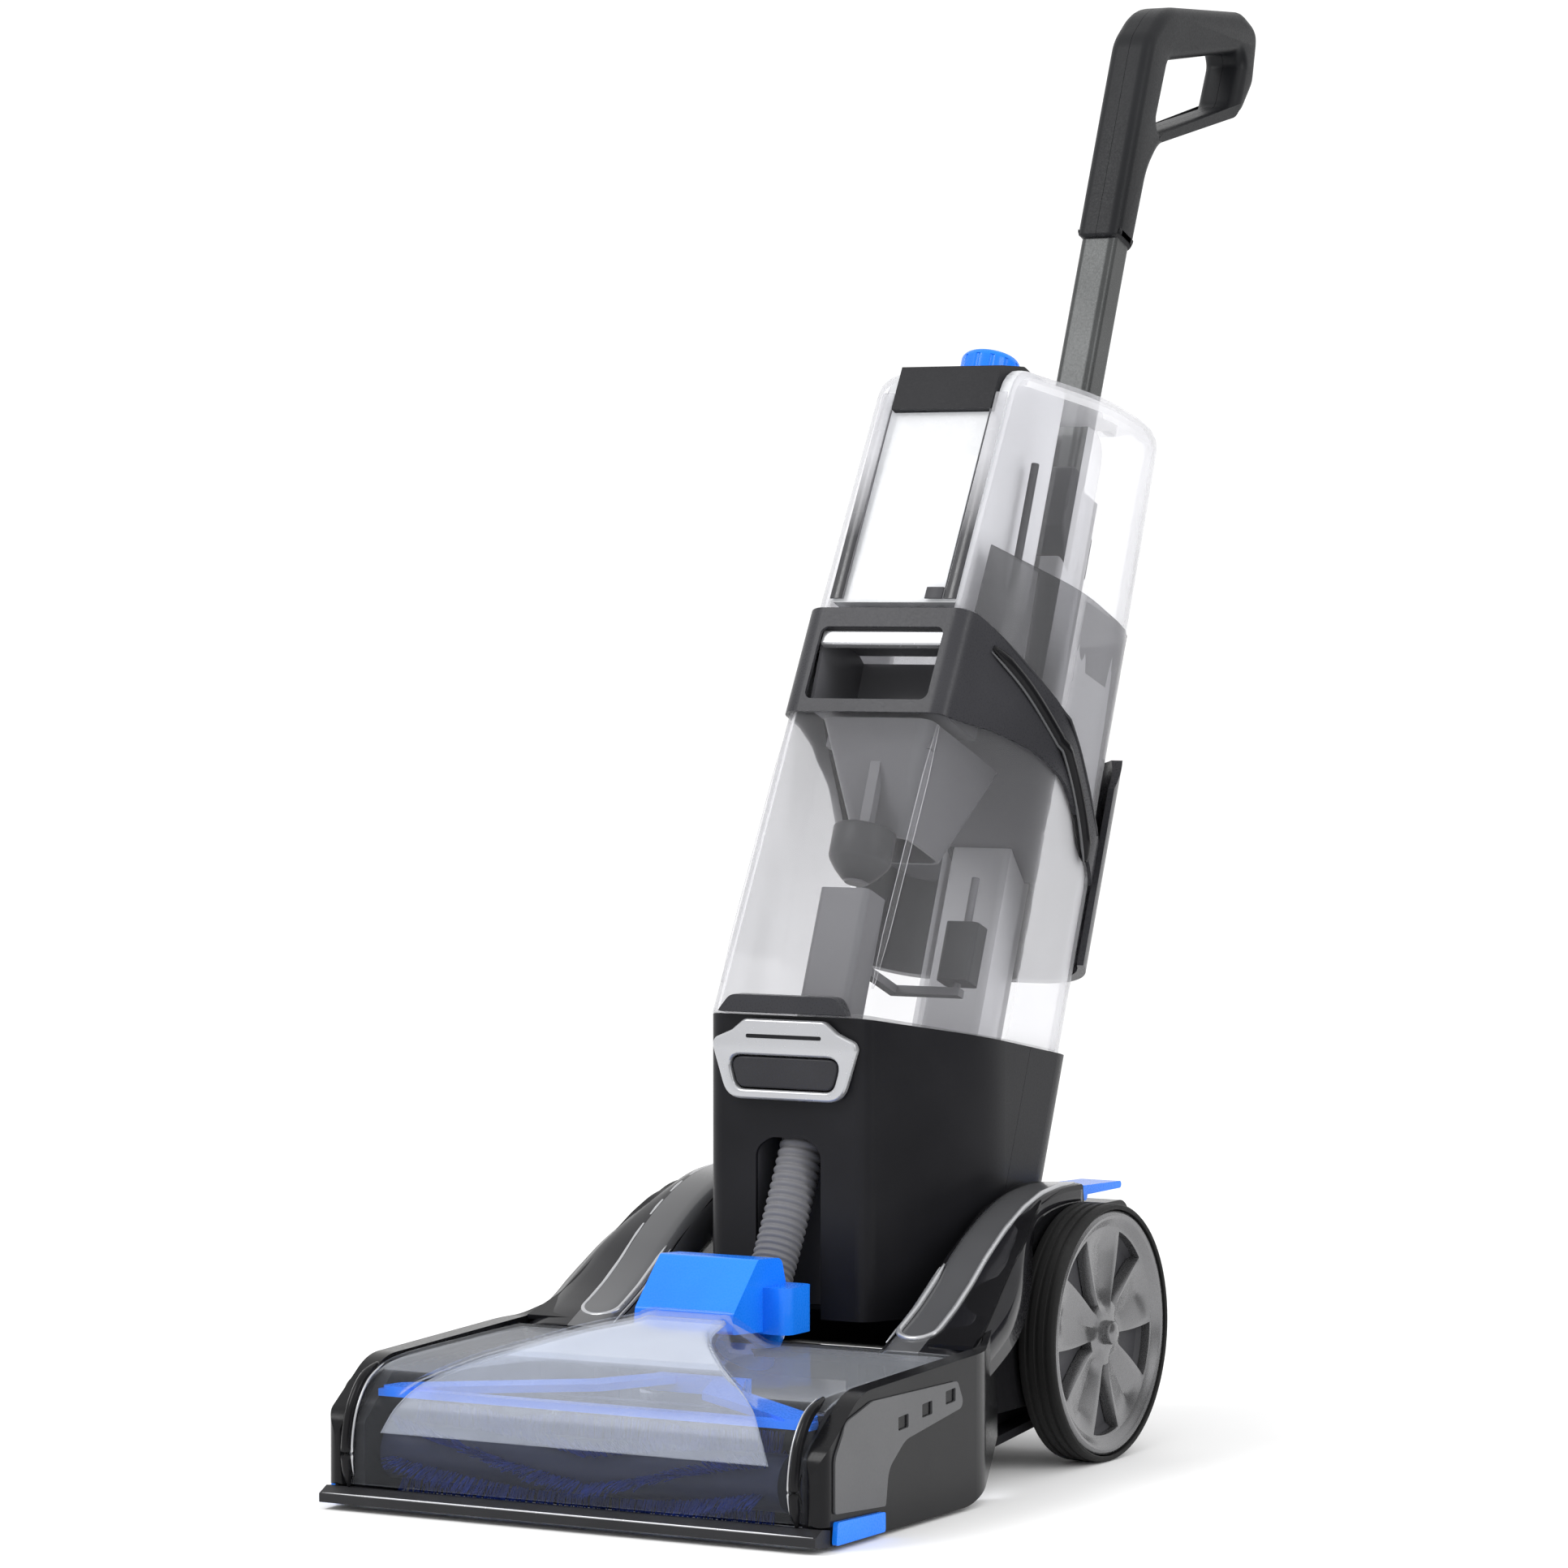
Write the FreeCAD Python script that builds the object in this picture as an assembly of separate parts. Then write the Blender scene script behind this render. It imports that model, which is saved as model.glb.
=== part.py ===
"""Upright carpet washer: wheeled base, leaning upright, dirty and clean water tanks, loop handle.

Everything is in millimetres with +Z up. The nozzle faces -Y. Base pieces are drawn in a base frame
whose origin is on the floor under the wheel axle. Upright pieces are drawn in a leaning frame: its
origin is the recline pivot, +Z runs up the body and -Y faces forward.
"""
import FreeCAD, Part
import math
import os

V = FreeCAD.Vector

# ---------------------------------------------------------------- driving dimensions
# base and nozzle
nozzle_half_width = 192.0
nozzle_front_y = -436.0
nozzle_rear_y = -160.0
nozzle_height = 101.0
side_panel_wall = 14.0
side_sweep_start = -205.0
side_sweep_end = -124.0
cover_wall = 3.0
chassis_wall = 6.0
sole_front_y = -326.0
sole_rear_y = -205.0
# wheels
wheel_radius = 91.4
wheel_width = 29.0
wheel_gap = 3.0
wheel_y = 17.6
tyre_depth = 4.5
rim_depth = 7.0
hub_radius = 11.0
hub_cap_radius = 8.5
wheel_window_count = 5
axle_radius = 6.0
# brush
brush_radius = 34.0
brush_core_radius = 19.0
brush_ground_gap = 2.0
bristle_rows = 6
brush_pulley_radius = 15.0
motor_pulley_radius = 8.0
belt_width = 9.0
belt_thickness = 2.0
brush_motor_radius = 24.0
brush_motor_length = 96.0
# fender pods
fender_inner_x = 108.0
fender_outer_x = 146.0
fender_crest_z = 194.0
fender_wall = 3.0
pedal_length = 62.0
pedal_thickness = 7.0
pedal_travel = 6.0
# recline pivot
lean_deg = 21.7
pivot_y = 40.0
pivot_z = 95.0
hinge_pin_radius = 6.0
# motor housing
housing_half_width = 105.0
housing_front_half = 62.0
housing_front_y = -134.0
housing_bottom_z = 108.0
housing_wall = 3.0
recess_half_width = 26.0
recess_top_z = 234.0
recess_depth = 53.0
# suction hose
hose_radius = 16.5
hose_bore = 13.0
socket_wall = 5.0
# suction motor and fan
motor_radius = 42.0
motor_length = 60.0
fan_radius = 48.0
fan_height = 16.0
# tanks, measured up the leaning body
tower_half_width = 96.5
tower_front_half = 62.0
tank_seat_front = 144.0
tank_seat_rear = 196.0
clean_tank_top = 690.0
clean_top_slope = 0.13
tank_wall = 2.5
collar_thickness = 2.8
container_half_width = 50.0
container_bottom = 469.0
container_top = 626.0
container_back = -104.0
cap_half_width = 41.0
knob_radius = 22.0
knob_height = 17.0
# rear frame and handle
frame_bottom = 262.0
frame_top = 415.0
frame_bulge = 6.0
spine_half_width = 25.0
spine_top = 640.0
tube_width = 30.0
tube_depth = 28.0
tube_bottom = 490.0
hook_height = 590.0
tube_top = 866.0
grip_bottom = 848.0
handle_width = 36.0
handle_height = 1110.0
handle_edge_radius = 3.5
# places of inner pieces
screw_x = 136.0
lip_top = 16.3
belt_in_x = 151.0
pedal_front_y = 40.0
flare_wall = 3.5
spray_z = 70.0
pump_top = 62.0
front_at_seat = 248.0
front_rise = 0.114
flare_y = -100.0
collar_back = 30.0
dirty_back = 14.0
clean_back = 18.5
spine_y = 7.0
knuckle_radius = 30.0
button_half = 38.0
button_low = 268.0
button_high = 290.0
latch_proud = 7.0
split_y = -75.0
motor_axis_y = -82.0
motor_low = 34.0
pocket_half = 50.0
pocket_low = 389.0
pocket_high = 447.0
pocket_back = 148.0
dirty_corner = 45.0
drip_low = 262.0
float_x = 50.0
float_y = -104.0
float_low = 216.0
float_height = 44.0
duct_top = 296.0
clean_corner = 76.0
dome_rise = 22.0
knob_y = -133.0
# clearances
running_gap = 0.05
slip_gap = 0.3
panel_gap = 0.5
moving_gap = 1.0
pin_gap = 0.04

LEAN = math.radians(lean_deg)
SIN = math.sin(LEAN)
COS = math.cos(LEAN)
BIG = 2000.0


# ---------------------------------------------------------------- geometry helpers
def corner_radii(points, radii):
    """Give every outline point a radius."""
    if isinstance(radii, (int, float)):
        return [radii] * len(points)
    return list(radii)


def outline(points, radii, place):
    """Closed wire through flat points, with a tangent arc at each corner that has a radius."""
    radii = corner_radii(points, radii)
    count = len(points)
    starts, ends, middles = [], [], []
    for i in range(count):
        p = V(points[i][0], points[i][1], 0)
        a = V(points[i - 1][0], points[i - 1][1], 0) - p
        b = V(points[(i + 1) % count][0], points[(i + 1) % count][1], 0) - p
        la, lb = a.Length, b.Length
        a.normalize()
        b.normalize()
        half = a.getAngle(b) / 2
        if radii[i] <= 0 or half > math.pi / 2 - 0.01:
            starts.append(p)
            ends.append(p)
            middles.append(None)
            continue
        reach = min(radii[i] / math.tan(half), 0.49 * la, 0.49 * lb)
        radius = reach * math.tan(half)
        centre = p + (a + b).normalize() * (radius / math.sin(half))
        starts.append(p + a * reach)
        ends.append(p + b * reach)
        middles.append(centre + (p - centre).normalize() * radius)
    edges = []
    for i in range(count):
        if middles[i] is not None:
            edges.append(Part.Arc(place(starts[i]), place(middles[i]), place(ends[i])).toShape())
        after = starts[(i + 1) % count]
        if (after - ends[i]).Length > 1e-4:
            edges.append(Part.LineSegment(place(ends[i]), place(after)).toShape())
    return Part.Wire(edges)


def offset_points(points, grow):
    """Move every side of a counter-clockwise polygon outwards by grow."""
    moved = []
    count = len(points)
    for i in range(count):
        ax, ay = points[i - 1]
        bx, by = points[i]
        cx, cy = points[(i + 1) % count]
        before = V(by - ay, ax - bx, 0).normalize()
        after = V(cy - by, bx - cx, 0).normalize()
        shift = (before + after) * (grow / (1 + before.dot(after)))
        moved.append((bx + shift.x, by + shift.y))
    return moved


def plate_x(points, x_low, x_high, radii=0):
    """Prism along X from a side view drawn as (y, z)."""
    wire = outline(points, radii, lambda p: V(x_low, p.x, p.y))
    return Part.Face(wire).extrude(V(x_high - x_low, 0, 0))


def plate_y(points, y_low, y_high, radii=0):
    """Prism along Y from a front view drawn as (x, z)."""
    wire = outline(points, radii, lambda p: V(p.x, y_low, p.y))
    return Part.Face(wire).extrude(V(0, y_high - y_low, 0))


def plate_z(points, z_low, z_high, radii=0):
    """Prism along Z from a plan view drawn as (x, y)."""
    wire = outline(points, radii, lambda p: V(p.x, p.y, z_low))
    return Part.Face(wire).extrude(V(0, 0, z_high - z_low))


def block(x_low, x_high, y_low, y_high, z_low, z_high, radius=0):
    """Box between two corners, with its upright edges rounded."""
    corners = [(x_low, y_low), (x_high, y_low), (x_high, y_high), (x_low, y_high)]
    return plate_z(corners, z_low, z_high, radius)


def rod_x(y, z, radius, x_low, x_high):
    return Part.makeCylinder(radius, x_high - x_low, V(x_low, y, z), V(1, 0, 0))


def rod_z(x, y, radius, z_low, z_high):
    return Part.makeCylinder(radius, z_high - z_low, V(x, y, z_low), V(0, 0, 1))


def ring_x(y, z, outer, inner, x_low, x_high):
    return rod_x(y, z, outer, x_low, x_high).cut(rod_x(y, z, inner, x_low - 1, x_high + 1))


def ring_z(x, y, outer, inner, z_low, z_high):
    return rod_z(x, y, outer, z_low, z_high).cut(rod_z(x, y, inner, z_low - 1, z_high + 1))


def mirrored(shape):
    return shape.mirror(V(0, 0, 0), V(1, 0, 0))


def joined(shapes):
    first = shapes[0]
    return first.multiFuse(shapes[1:]).removeSplitter()


def lean(shape):
    """Carry a shape from the leaning frame to the base frame."""
    turned = shape.copy()
    turn = FreeCAD.Rotation(V(1, 0, 0), -lean_deg)
    turned.Placement = FreeCAD.Placement(V(0, pivot_y, pivot_z), turn).multiply(turned.Placement)
    return turned


def unlean(shape):
    """Carry a shape from the base frame to the leaning frame."""
    turned = shape.copy()
    turn = FreeCAD.Rotation(V(1, 0, 0), -lean_deg)
    turned.Placement = FreeCAD.Placement(V(0, pivot_y, pivot_z), turn).inverse().multiply(turned.Placement)
    return turned


def to_leaning(y, z):
    """Base-frame (y, z) as leaning-frame (y, z)."""
    dy, dz = y - pivot_y, z - pivot_z
    return dy * COS - dz * SIN, dy * SIN + dz * COS


nodes = {}


def add(name, shape):
    """Keep a finished node, checked to be made of closed solids."""
    solids = [s for s in shape.Solids if s.Volume > 0.5]
    if not solids:
        raise ValueError("no solid in " + name)
    nodes[name] = solids[0] if len(solids) == 1 else Part.makeCompound(solids)


def add_pair(name, right):
    """Keep a right-hand node and its mirror image as two nodes."""
    add(name + "_right", right)
    add(name + "_left", mirrored(right))


def add_both(name, right):
    """Keep a right-hand piece and its mirror image as two solids of one node."""
    add(name, Part.makeCompound([right, mirrored(right)]))


# ---------------------------------------------------------------- wheels
axle_z = wheel_radius
wheel_in_x = fender_outer_x + wheel_gap
wheel_out_x = wheel_in_x + wheel_width


def wheel_rim():
    outer = wheel_radius - tyre_depth - panel_gap
    body = ring_x(wheel_y, axle_z, outer, axle_radius + running_gap, wheel_in_x + 2, wheel_out_x - 2)
    dish = ring_x(wheel_y, axle_z, outer - rim_depth, hub_radius, wheel_out_x - 6, wheel_out_x)
    body = body.cut(dish)
    window_out, window_in = outer - rim_depth - 5, hub_radius + 10
    half_out = math.radians(16.5)
    half_in = math.radians(10.0)
    corners = []
    for angle, reach in ((-half_out, window_out), (half_out, window_out), (half_in, window_in),
                         (-half_in, window_in)):
        corners.append((reach * math.sin(angle), reach * math.cos(angle)))
    for i in range(wheel_window_count):
        window = plate_x(corners, wheel_in_x - 5, wheel_out_x + 5, 3)
        window.rotate(V(0, 0, 0), V(1, 0, 0), 38 + 360.0 * i / wheel_window_count)
        window.translate(V(0, wheel_y, axle_z))
        body = body.cut(window)
    return body


def wheel_tyre():
    tread = wheel_radius
    bead = wheel_radius - tyre_depth
    round_over = 3.0
    section = [(wheel_in_x, bead), (wheel_out_x, bead), (wheel_out_x, tread), (wheel_in_x, tread)]
    wire = outline(section, [0, 0, round_over, round_over], lambda p: V(p.x, wheel_y, p.y + axle_z))
    return Part.Face(wire).revolve(V(0, wheel_y, axle_z), V(1, 0, 0), 360)


def hub_cap():
    cap = rod_x(wheel_y, axle_z, hub_cap_radius, wheel_out_x - 2, wheel_out_x + 3)
    return cap.makeFillet(2.0, [e for e in cap.Edges if e.BoundBox.XMin > wheel_out_x + 2.5])


def axle_stub():
    inner = fender_inner_x + fender_wall + slip_gap
    shaft = rod_x(wheel_y, axle_z, axle_radius, inner, wheel_out_x - 2.5)
    return shaft.fuse(rod_x(wheel_y, axle_z, axle_radius + 4, inner, inner + 3.4))


add_pair("wheel_rim", wheel_rim())
add_pair("wheel_tyre", wheel_tyre())
add_pair("hub_cap", hub_cap())
add_both("wheel_axles", axle_stub())

# ---------------------------------------------------------------- suction hose route
hose_points = [V(0, -192, 93), V(0, -151, 141), V(0, -97, 262)]


def hose_path(points):
    """Straight runs joined by one tangent arc."""
    first = (points[1] - points[0])
    last = (points[2] - points[1])
    turn = first.getAngle(last)
    reach = 0.45 * min(first.Length, last.Length)
    bend_radius = reach / math.tan(turn / 2)
    d1 = V(first).normalize()
    d2 = V(last).normalize()
    start = points[1] - d1 * reach
    end = points[1] + d2 * reach
    inward = (d2 - d1).normalize()
    middle = points[1] + inward * (bend_radius / math.cos(turn / 2) - bend_radius)
    edges = [
        Part.LineSegment(points[0], start).toShape(),
        Part.Arc(start, middle, end).toShape(),
        Part.LineSegment(end, points[2]).toShape(),
    ]
    return Part.Wire(edges), d1, d2, bend_radius


hose_wire, hose_start_dir, hose_end_dir, hose_bend = hose_path(hose_points)
hose_start = hose_points[0] + hose_start_dir * 2


# ---------------------------------------------------------------- base chassis
brush_z = brush_radius + brush_ground_gap
brush_y = nozzle_front_y + brush_radius + 17
chamber_rear_y = brush_y + brush_radius + 12
motor_y = chamber_rear_y + chassis_wall + brush_motor_radius + 8
motor_z = brush_motor_radius + 22
cheek_in_x = nozzle_half_width - side_panel_wall - 9
cheek_out_x = nozzle_half_width - side_panel_wall - panel_gap
pod_cheek_in_x = fender_inner_x + fender_wall + 4
pod_cheek_out_x = pod_cheek_in_x + 6
lip_rear = nozzle_front_y + 21
belt_out_x = belt_in_x + belt_width
deck_z = nozzle_height - 5


def base_chassis():
    floor = [
        (chamber_rear_y, 0), (sole_rear_y, 0), (-150, 14), (60, 36), (60, 42),
        (-152, 20), (sole_rear_y - 2, chassis_wall), (chamber_rear_y, chassis_wall),
    ]
    tray = plate_x(floor, -fender_inner_x - 30, fender_inner_x + 30)
    wide = block(-cheek_out_x, cheek_out_x, chamber_rear_y, sole_rear_y, 0, chassis_wall)
    rear_wall = block(-cheek_in_x, belt_in_x - 4, chamber_rear_y, chamber_rear_y + 4, 0, 74)
    shroud = [
        (nozzle_front_y + 22, 10), (chamber_rear_y, 4), (nozzle_rear_y - 30, 8),
        (nozzle_rear_y - 30, nozzle_height - 12), (nozzle_front_y + 58, nozzle_height - 12),
        (nozzle_front_y + 22, nozzle_height - 44),
    ]
    cheek = plate_x(shroud, cheek_in_x, cheek_out_x, 6)
    pod_cheek = [(-112, 24), (70, 40), (84, 120), (40, 160), (-40, 150), (-112, 90)]
    pod = plate_x(pod_cheek, pod_cheek_in_x, pod_cheek_out_x, 12)
    body = joined([tray, wide, rear_wall, cheek, mirrored(cheek), pod, mirrored(pod)])
    for side in (-1, 1):
        start = 100 if side > 0 else -wheel_in_x
        body = body.cut(rod_x(wheel_y, axle_z, axle_radius + pin_gap, start, start + wheel_in_x - 100))
        body = body.cut(rod_x(pivot_y, pivot_z, hinge_pin_radius + pin_gap, start, start + wheel_in_x - 100))
        end = cheek_in_x - 1 if side > 0 else -cheek_out_x - 1
        body = body.cut(rod_x(brush_y, brush_z, 7 + running_gap, end, end + cheek_out_x - cheek_in_x + 2))
    for x in (-1, 1):
        for y in (sole_front_y + 24, sole_rear_y - 16):
            body = body.cut(rod_z(x * screw_x, y, 2.5 + slip_gap, -1, chassis_wall + 1))
    return body


def base_screws():
    screws = []
    for x in (-1, 1):
        for y in (sole_front_y + 24, sole_rear_y - 16):
            shank = rod_z(x * screw_x, y, 2.5, 1.5, chassis_wall + 9)
            head = rod_z(x * screw_x, y, 5.0, chassis_wall + 0.2, chassis_wall + 3.4)
            screws.append(shank.fuse(head))
    return Part.makeCompound(screws)


def base_deck():
    """Cover between the nozzle cover's rear edge and the upright, with vent slots and a hose notch."""
    half = fender_inner_x - panel_gap
    front, rear = nozzle_rear_y - 52, nozzle_rear_y + 18
    profile = [(front, deck_z), (rear, deck_z - 4), (-118, 70), (-118, 64), (rear - 3, deck_z - 10),
               (front, deck_z - 5)]
    deck = plate_x(profile, -half, half)
    wing = block(half, cheek_in_x - panel_gap, front, front + 26, deck_z - 5, deck_z)
    legs = [block(x - 5, x + 5, front + 8, front + 18, 13, deck_z - 4) for x in (-90, 90)]
    deck = joined([deck, wing, mirrored(wing)] + legs)
    slot_count = 6
    for i in range(slot_count):
        x = 52 + 8 * i
        slot = block(x, x + 4, front + 24, rear - 14, deck_z - 20, deck_z + 5)
        deck = deck.cut(slot).cut(mirrored(slot))
    notch = Part.makeCylinder(hose_radius + socket_wall + moving_gap, 80,
                              hose_points[0] - hose_start_dir * 20, hose_start_dir)
    return deck.cut(notch)


add("base_chassis", base_chassis())
add("base_screws", base_screws())
add("base_deck", base_deck())

# ---------------------------------------------------------------- fenders, side panels, trims
pedal_top_z = fender_crest_z - 2
pedal_pin_y = pedal_front_y + 4
pedal_pin_z = pedal_top_z - pedal_thickness - 0.5
pedal_clear_z = pedal_top_z - pedal_thickness - pedal_length * math.sin(math.radians(pedal_travel)) - 1.5


def fender_profile(inset):
    """Side view of a fender pod, pulled in by inset."""
    points = [
        (-204, 96), (-188, 62), (-130, 46), (108, 46), (pedal_front_y + pedal_length + 14, 130),
        (pedal_front_y + pedal_length + 4, pedal_clear_z), (pedal_front_y - 3, pedal_clear_z),
        (pedal_front_y - 6, fender_crest_z), (6, fender_crest_z), (-48, 182), (-104, 152), (-150, 120),
    ]
    return offset_points(points, -inset)


fender_radii = [4, 20, 20, 20, 40, 16, 2, 3, 60, 90, 90, 60]


def fender():
    outer = plate_x(fender_profile(0), fender_inner_x, fender_outer_x, fender_radii)
    inner = plate_x(fender_profile(fender_wall), fender_inner_x + fender_wall,
                    fender_outer_x - fender_wall, 4)
    under = block(fender_inner_x + fender_wall, fender_outer_x - fender_wall, -130, 100, 0, 60)
    shell = outer.cut(inner).cut(under)
    shell = shell.cut(rod_x(wheel_y, axle_z, axle_radius + slip_gap, 90, wheel_out_x))
    shell = shell.cut(rod_x(pivot_y, pivot_z, hinge_pin_radius + slip_gap, 90, 130))
    nose = block(fender_inner_x - 1, fender_outer_x + 1, -300, nozzle_rear_y + 4, 0, deck_z + 0.5)
    return shell.cut(nose)


flare_top = [(-30, 189), (-62, 179), (-96, 159), (-128, 138), (-160, 118), (-196, 105)]


def fender_flare():
    """Shoulder of the fender that sweeps outwards in front of the wheel."""
    under = [(y - 1, z - flare_wall) for y, z in flare_top[::-1]]
    strip = plate_x(flare_top + under, fender_outer_x - fender_wall, nozzle_half_width,
                    [0, 60, 90, 90, 60, 0] * 2)
    plan = [
        (fender_outer_x - fender_wall, -30), (fender_outer_x + 1, -32), (fender_outer_x + 14, -80),
        (fender_outer_x + 20, -130), (cheek_out_x, nozzle_rear_y - 34), (fender_outer_x - fender_wall,
                nozzle_rear_y - 34),
    ]
    return strip.common(plate_z(plan, 0, 300, [0, 12, 60, 60, 0, 0]))


def fender_trim():
    """Bright line along the outer edge of the fender, a thin bead on its crown."""
    low_x, high_x = fender_outer_x - 6, fender_outer_x - fender_wall - 0.3
    outer = plate_x(fender_profile(-2.2), low_x, high_x, fender_radii)
    inner = plate_x(fender_profile(-0.05), low_x - 1, high_x + 1, fender_radii)
    return outer.cut(inner).common(block(low_x - 1, high_x + 1, nozzle_rear_y - 20, 6, deck_z + 6, 300))


def side_panel():
    """Outer skin of the base, swept in towards the wheel behind the nozzle."""
    inner_x = nozzle_half_width - side_panel_wall
    sweep = (side_sweep_end - side_sweep_start) / (fender_outer_x + 14 - nozzle_half_width)
    inner_y = min(nozzle_rear_y - 20, side_sweep_start - side_panel_wall * sweep - 10)
    plan = [
        (inner_x, nozzle_front_y + 6), (nozzle_half_width, nozzle_front_y + 12),
        (nozzle_half_width, side_sweep_start), (fender_outer_x + 14, side_sweep_end),
        (fender_outer_x + 0.5, -98), (fender_outer_x + 0.5, -120), (inner_x, inner_y),
    ]
    side = [
        (lip_rear, 3), (-225, 3), (-150, 26), (-98, 44), (-98, 151), (-150, 117),
        (nozzle_rear_y - 30, nozzle_height + 4), (nozzle_front_y + 60, nozzle_height - 3),
        (nozzle_front_y + 9, nozzle_height - 40), (nozzle_front_y + 8, lip_top), (lip_rear, lip_top),
    ]
    solid = plate_z(plan, 0, 200, [6, 10, 60, 30, 2, 2, 12])
    return solid.common(plate_x(side, 100, nozzle_half_width + 10, [3, 60, 40, 2, 2, 40, 60, 46, 24, 3, 0]))


trim_points = [
    (-414, 24), (-414, 60), (-398, 82), (-364, 91), (-246, 90), (-236, 72), (-319, 60), (-342,
            44), (-346, 20),
]


def side_trim():
    band = plate_x(trim_points, nozzle_half_width, nozzle_half_width + 1.5, [2, 14, 14, 20, 5, 5, 24, 16, 2])
    for i in range(3):
        y, z = -322 + 33 * i, 72 + 4.5 * i
        band = band.cut(plate_x([(y - 7, z - 5), (y + 7, z - 4), (y + 7, z + 5), (y - 7, z + 4)],
                                nozzle_half_width - 1, nozzle_half_width + 3, 1))
    return band


def release_tab():
    tab = [(-416, 4), (-350, 4), (-350, 17), (-414, 19)]
    return plate_x(tab, nozzle_half_width, nozzle_half_width + 3.5, 2)


def hinge_pin():
    head_x = pod_cheek_out_x
    pin = rod_x(pivot_y, pivot_z, hinge_pin_radius, housing_half_width - 16, head_x)
    return pin.fuse(rod_x(pivot_y, pivot_z, hinge_pin_radius + 4, head_x, head_x + 3))


add_pair("fender", fender().fuse(fender_flare()).removeSplitter())
add_both("fender_trims", fender_trim())
add_pair("side_panel", side_panel())
add_both("side_trims", side_trim())
add_both("release_tabs", release_tab())
add_both("recline_pins", hinge_pin())


# ---------------------------------------------------------------- pedals
def foot_pedal():
    """Rocking pedal on the back of a fender; its hinge barrel is at the front."""
    low_x, high_x = fender_inner_x + 4, fender_outer_x - 3
    top = [
        (pedal_front_y + 1, pedal_top_z - pedal_thickness), (pedal_front_y + pedal_length,
                pedal_top_z - pedal_thickness),
        (pedal_front_y + pedal_length, pedal_top_z - 2), (pedal_front_y + 1, pedal_top_z),
    ]
    tread = plate_x(top, low_x, high_x, [1, 3, 3, 2])
    return tread.fuse(rod_x(pedal_pin_y, pedal_pin_z, 3.5, low_x, high_x)).removeSplitter()


add("power_pedal", foot_pedal())
add("recline_pedal", mirrored(foot_pedal()))

# ---------------------------------------------------------------- nozzle
cover_half = nozzle_half_width - side_panel_wall - panel_gap


def cover_profile(inset, low, reach):
    """Side view of the cover skin, counter-clockwise, closed at height low and reaching back to reach."""
    top = nozzle_height - inset
    return [
        (nozzle_front_y + 7 + inset, low), (reach, low), (reach, top + 2), (nozzle_front_y + 56, top - 3),
        (nozzle_front_y + 20 + inset * 0.7, 80 - inset * 0.7), (nozzle_front_y + 6 + inset, 46),
    ]


def channel_section(y, half, low, high):
    """One cross-section of the raised suction channel."""
    shoulder = half * 0.55
    points = [(-half, low), (half, low), (shoulder, high), (-shoulder, high)]
    return outline(points, 0, lambda p: V(p.x, y, p.y))


def channel(inset):
    stations = [(nozzle_front_y + 14, 158, 70), (-366, 104, 112), (-318, 68, 125), (-265, 38, 127)]
    wires = []
    for y, half, high in stations:
        wires.append(channel_section(y + inset * 0.5, half - inset * 1.3, 60, high - inset))
    return Part.makeLoft(wires, True, True)


def nozzle_cover():
    """Clear skin over the brush with a raised suction channel that narrows to the rear."""
    bends = [0, 0, 0, 46, 30, 20]
    outer = plate_x(cover_profile(0, 17, nozzle_rear_y - 54), -cover_half, cover_half, bends)
    inner = plate_x(cover_profile(cover_wall, 5, 0), -cover_half - 5, cover_half + 5, bends)
    ridge = channel(0).cut(channel(cover_wall)).cut(inner)
    skin = outer.cut(inner).cut(channel(cover_wall))
    return joined([skin, ridge])


def nozzle_lip():
    front = nozzle_front_y
    profile = [(front, 5), (front + 14, 3), (front + 20, 3), (front + 20, 14), (front + 9, 15.5), (front, 11)]
    return plate_x(profile, -nozzle_half_width + 1, nozzle_half_width - 1, 1)


def brush_frame():
    """Inner carrier over the brush: two swept arms and a cross bar."""
    arm = [(32, -248), (58, -300), (162, -380), (166, -400), (148, -400), (40, -322), (14, -262)]
    bar = block(-cheek_in_x + 2, cheek_in_x - 2, -400, -389, 74, 79)
    right = plate_z(arm, 76, 81, 5)
    return joined([right, mirrored(right), bar, block(-36, 36, -262, -248, 70, 81)])


def duct_connector():
    """Blue elbow between the suction channel and the hose."""
    box = [(-264, 112), (-262, 126), (-228, 160), (-196, 158), (-186, 128), (-200, 108)]
    body = plate_x(box, -48, 30, [3, 4, 5, 8, 6, 6])
    latch = block(20, 50, -222, -186, 108, 140, 8)
    socket = Part.makeCylinder(hose_radius + socket_wall, 46, hose_start - hose_start_dir * 6, hose_start_dir)
    body = joined([body, latch, socket])
    body = body.cut(Part.makeCylinder(hose_radius + slip_gap, 60, hose_start, hose_start_dir))
    throat = Part.makeCylinder(hose_bore, 80, hose_start - hose_start_dir * 4, V(0, -1, 0.06))
    return body.cut(throat)


def brush_roller():
    core = rod_x(brush_y, brush_z, brush_core_radius, -cheek_in_x + 6, belt_in_x - 6)
    shaft = rod_x(brush_y, brush_z, 7, -cheek_out_x, cheek_out_x)
    pulley = rod_x(brush_y, brush_z, brush_pulley_radius, belt_in_x - 1, belt_out_x + 1)
    return joined([core, shaft, pulley])


def bristle_tufts():
    """Chevron rows of bristle tufts standing on the roller."""
    tufts = []
    tuft_step = 22.0
    low, high = -cheek_in_x + 14, belt_in_x - 14
    count = int((high - low) / tuft_step)
    for row in range(bristle_rows):
        for i in range(count + 1):
            x = low + i * (high - low) / count
            turn = 360.0 * row / bristle_rows + abs(x) * 0.35
            tuft = Part.makeCylinder(3.2, brush_radius - brush_core_radius + 1,
                                     V(x, 0, brush_core_radius - 1), V(0, 0, 1))
            tuft.rotate(V(0, 0, 0), V(1, 0, 0), turn)
            tuft.translate(V(0, brush_y, brush_z))
            tufts.append(tuft)
    return Part.makeCompound(tufts)


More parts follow.
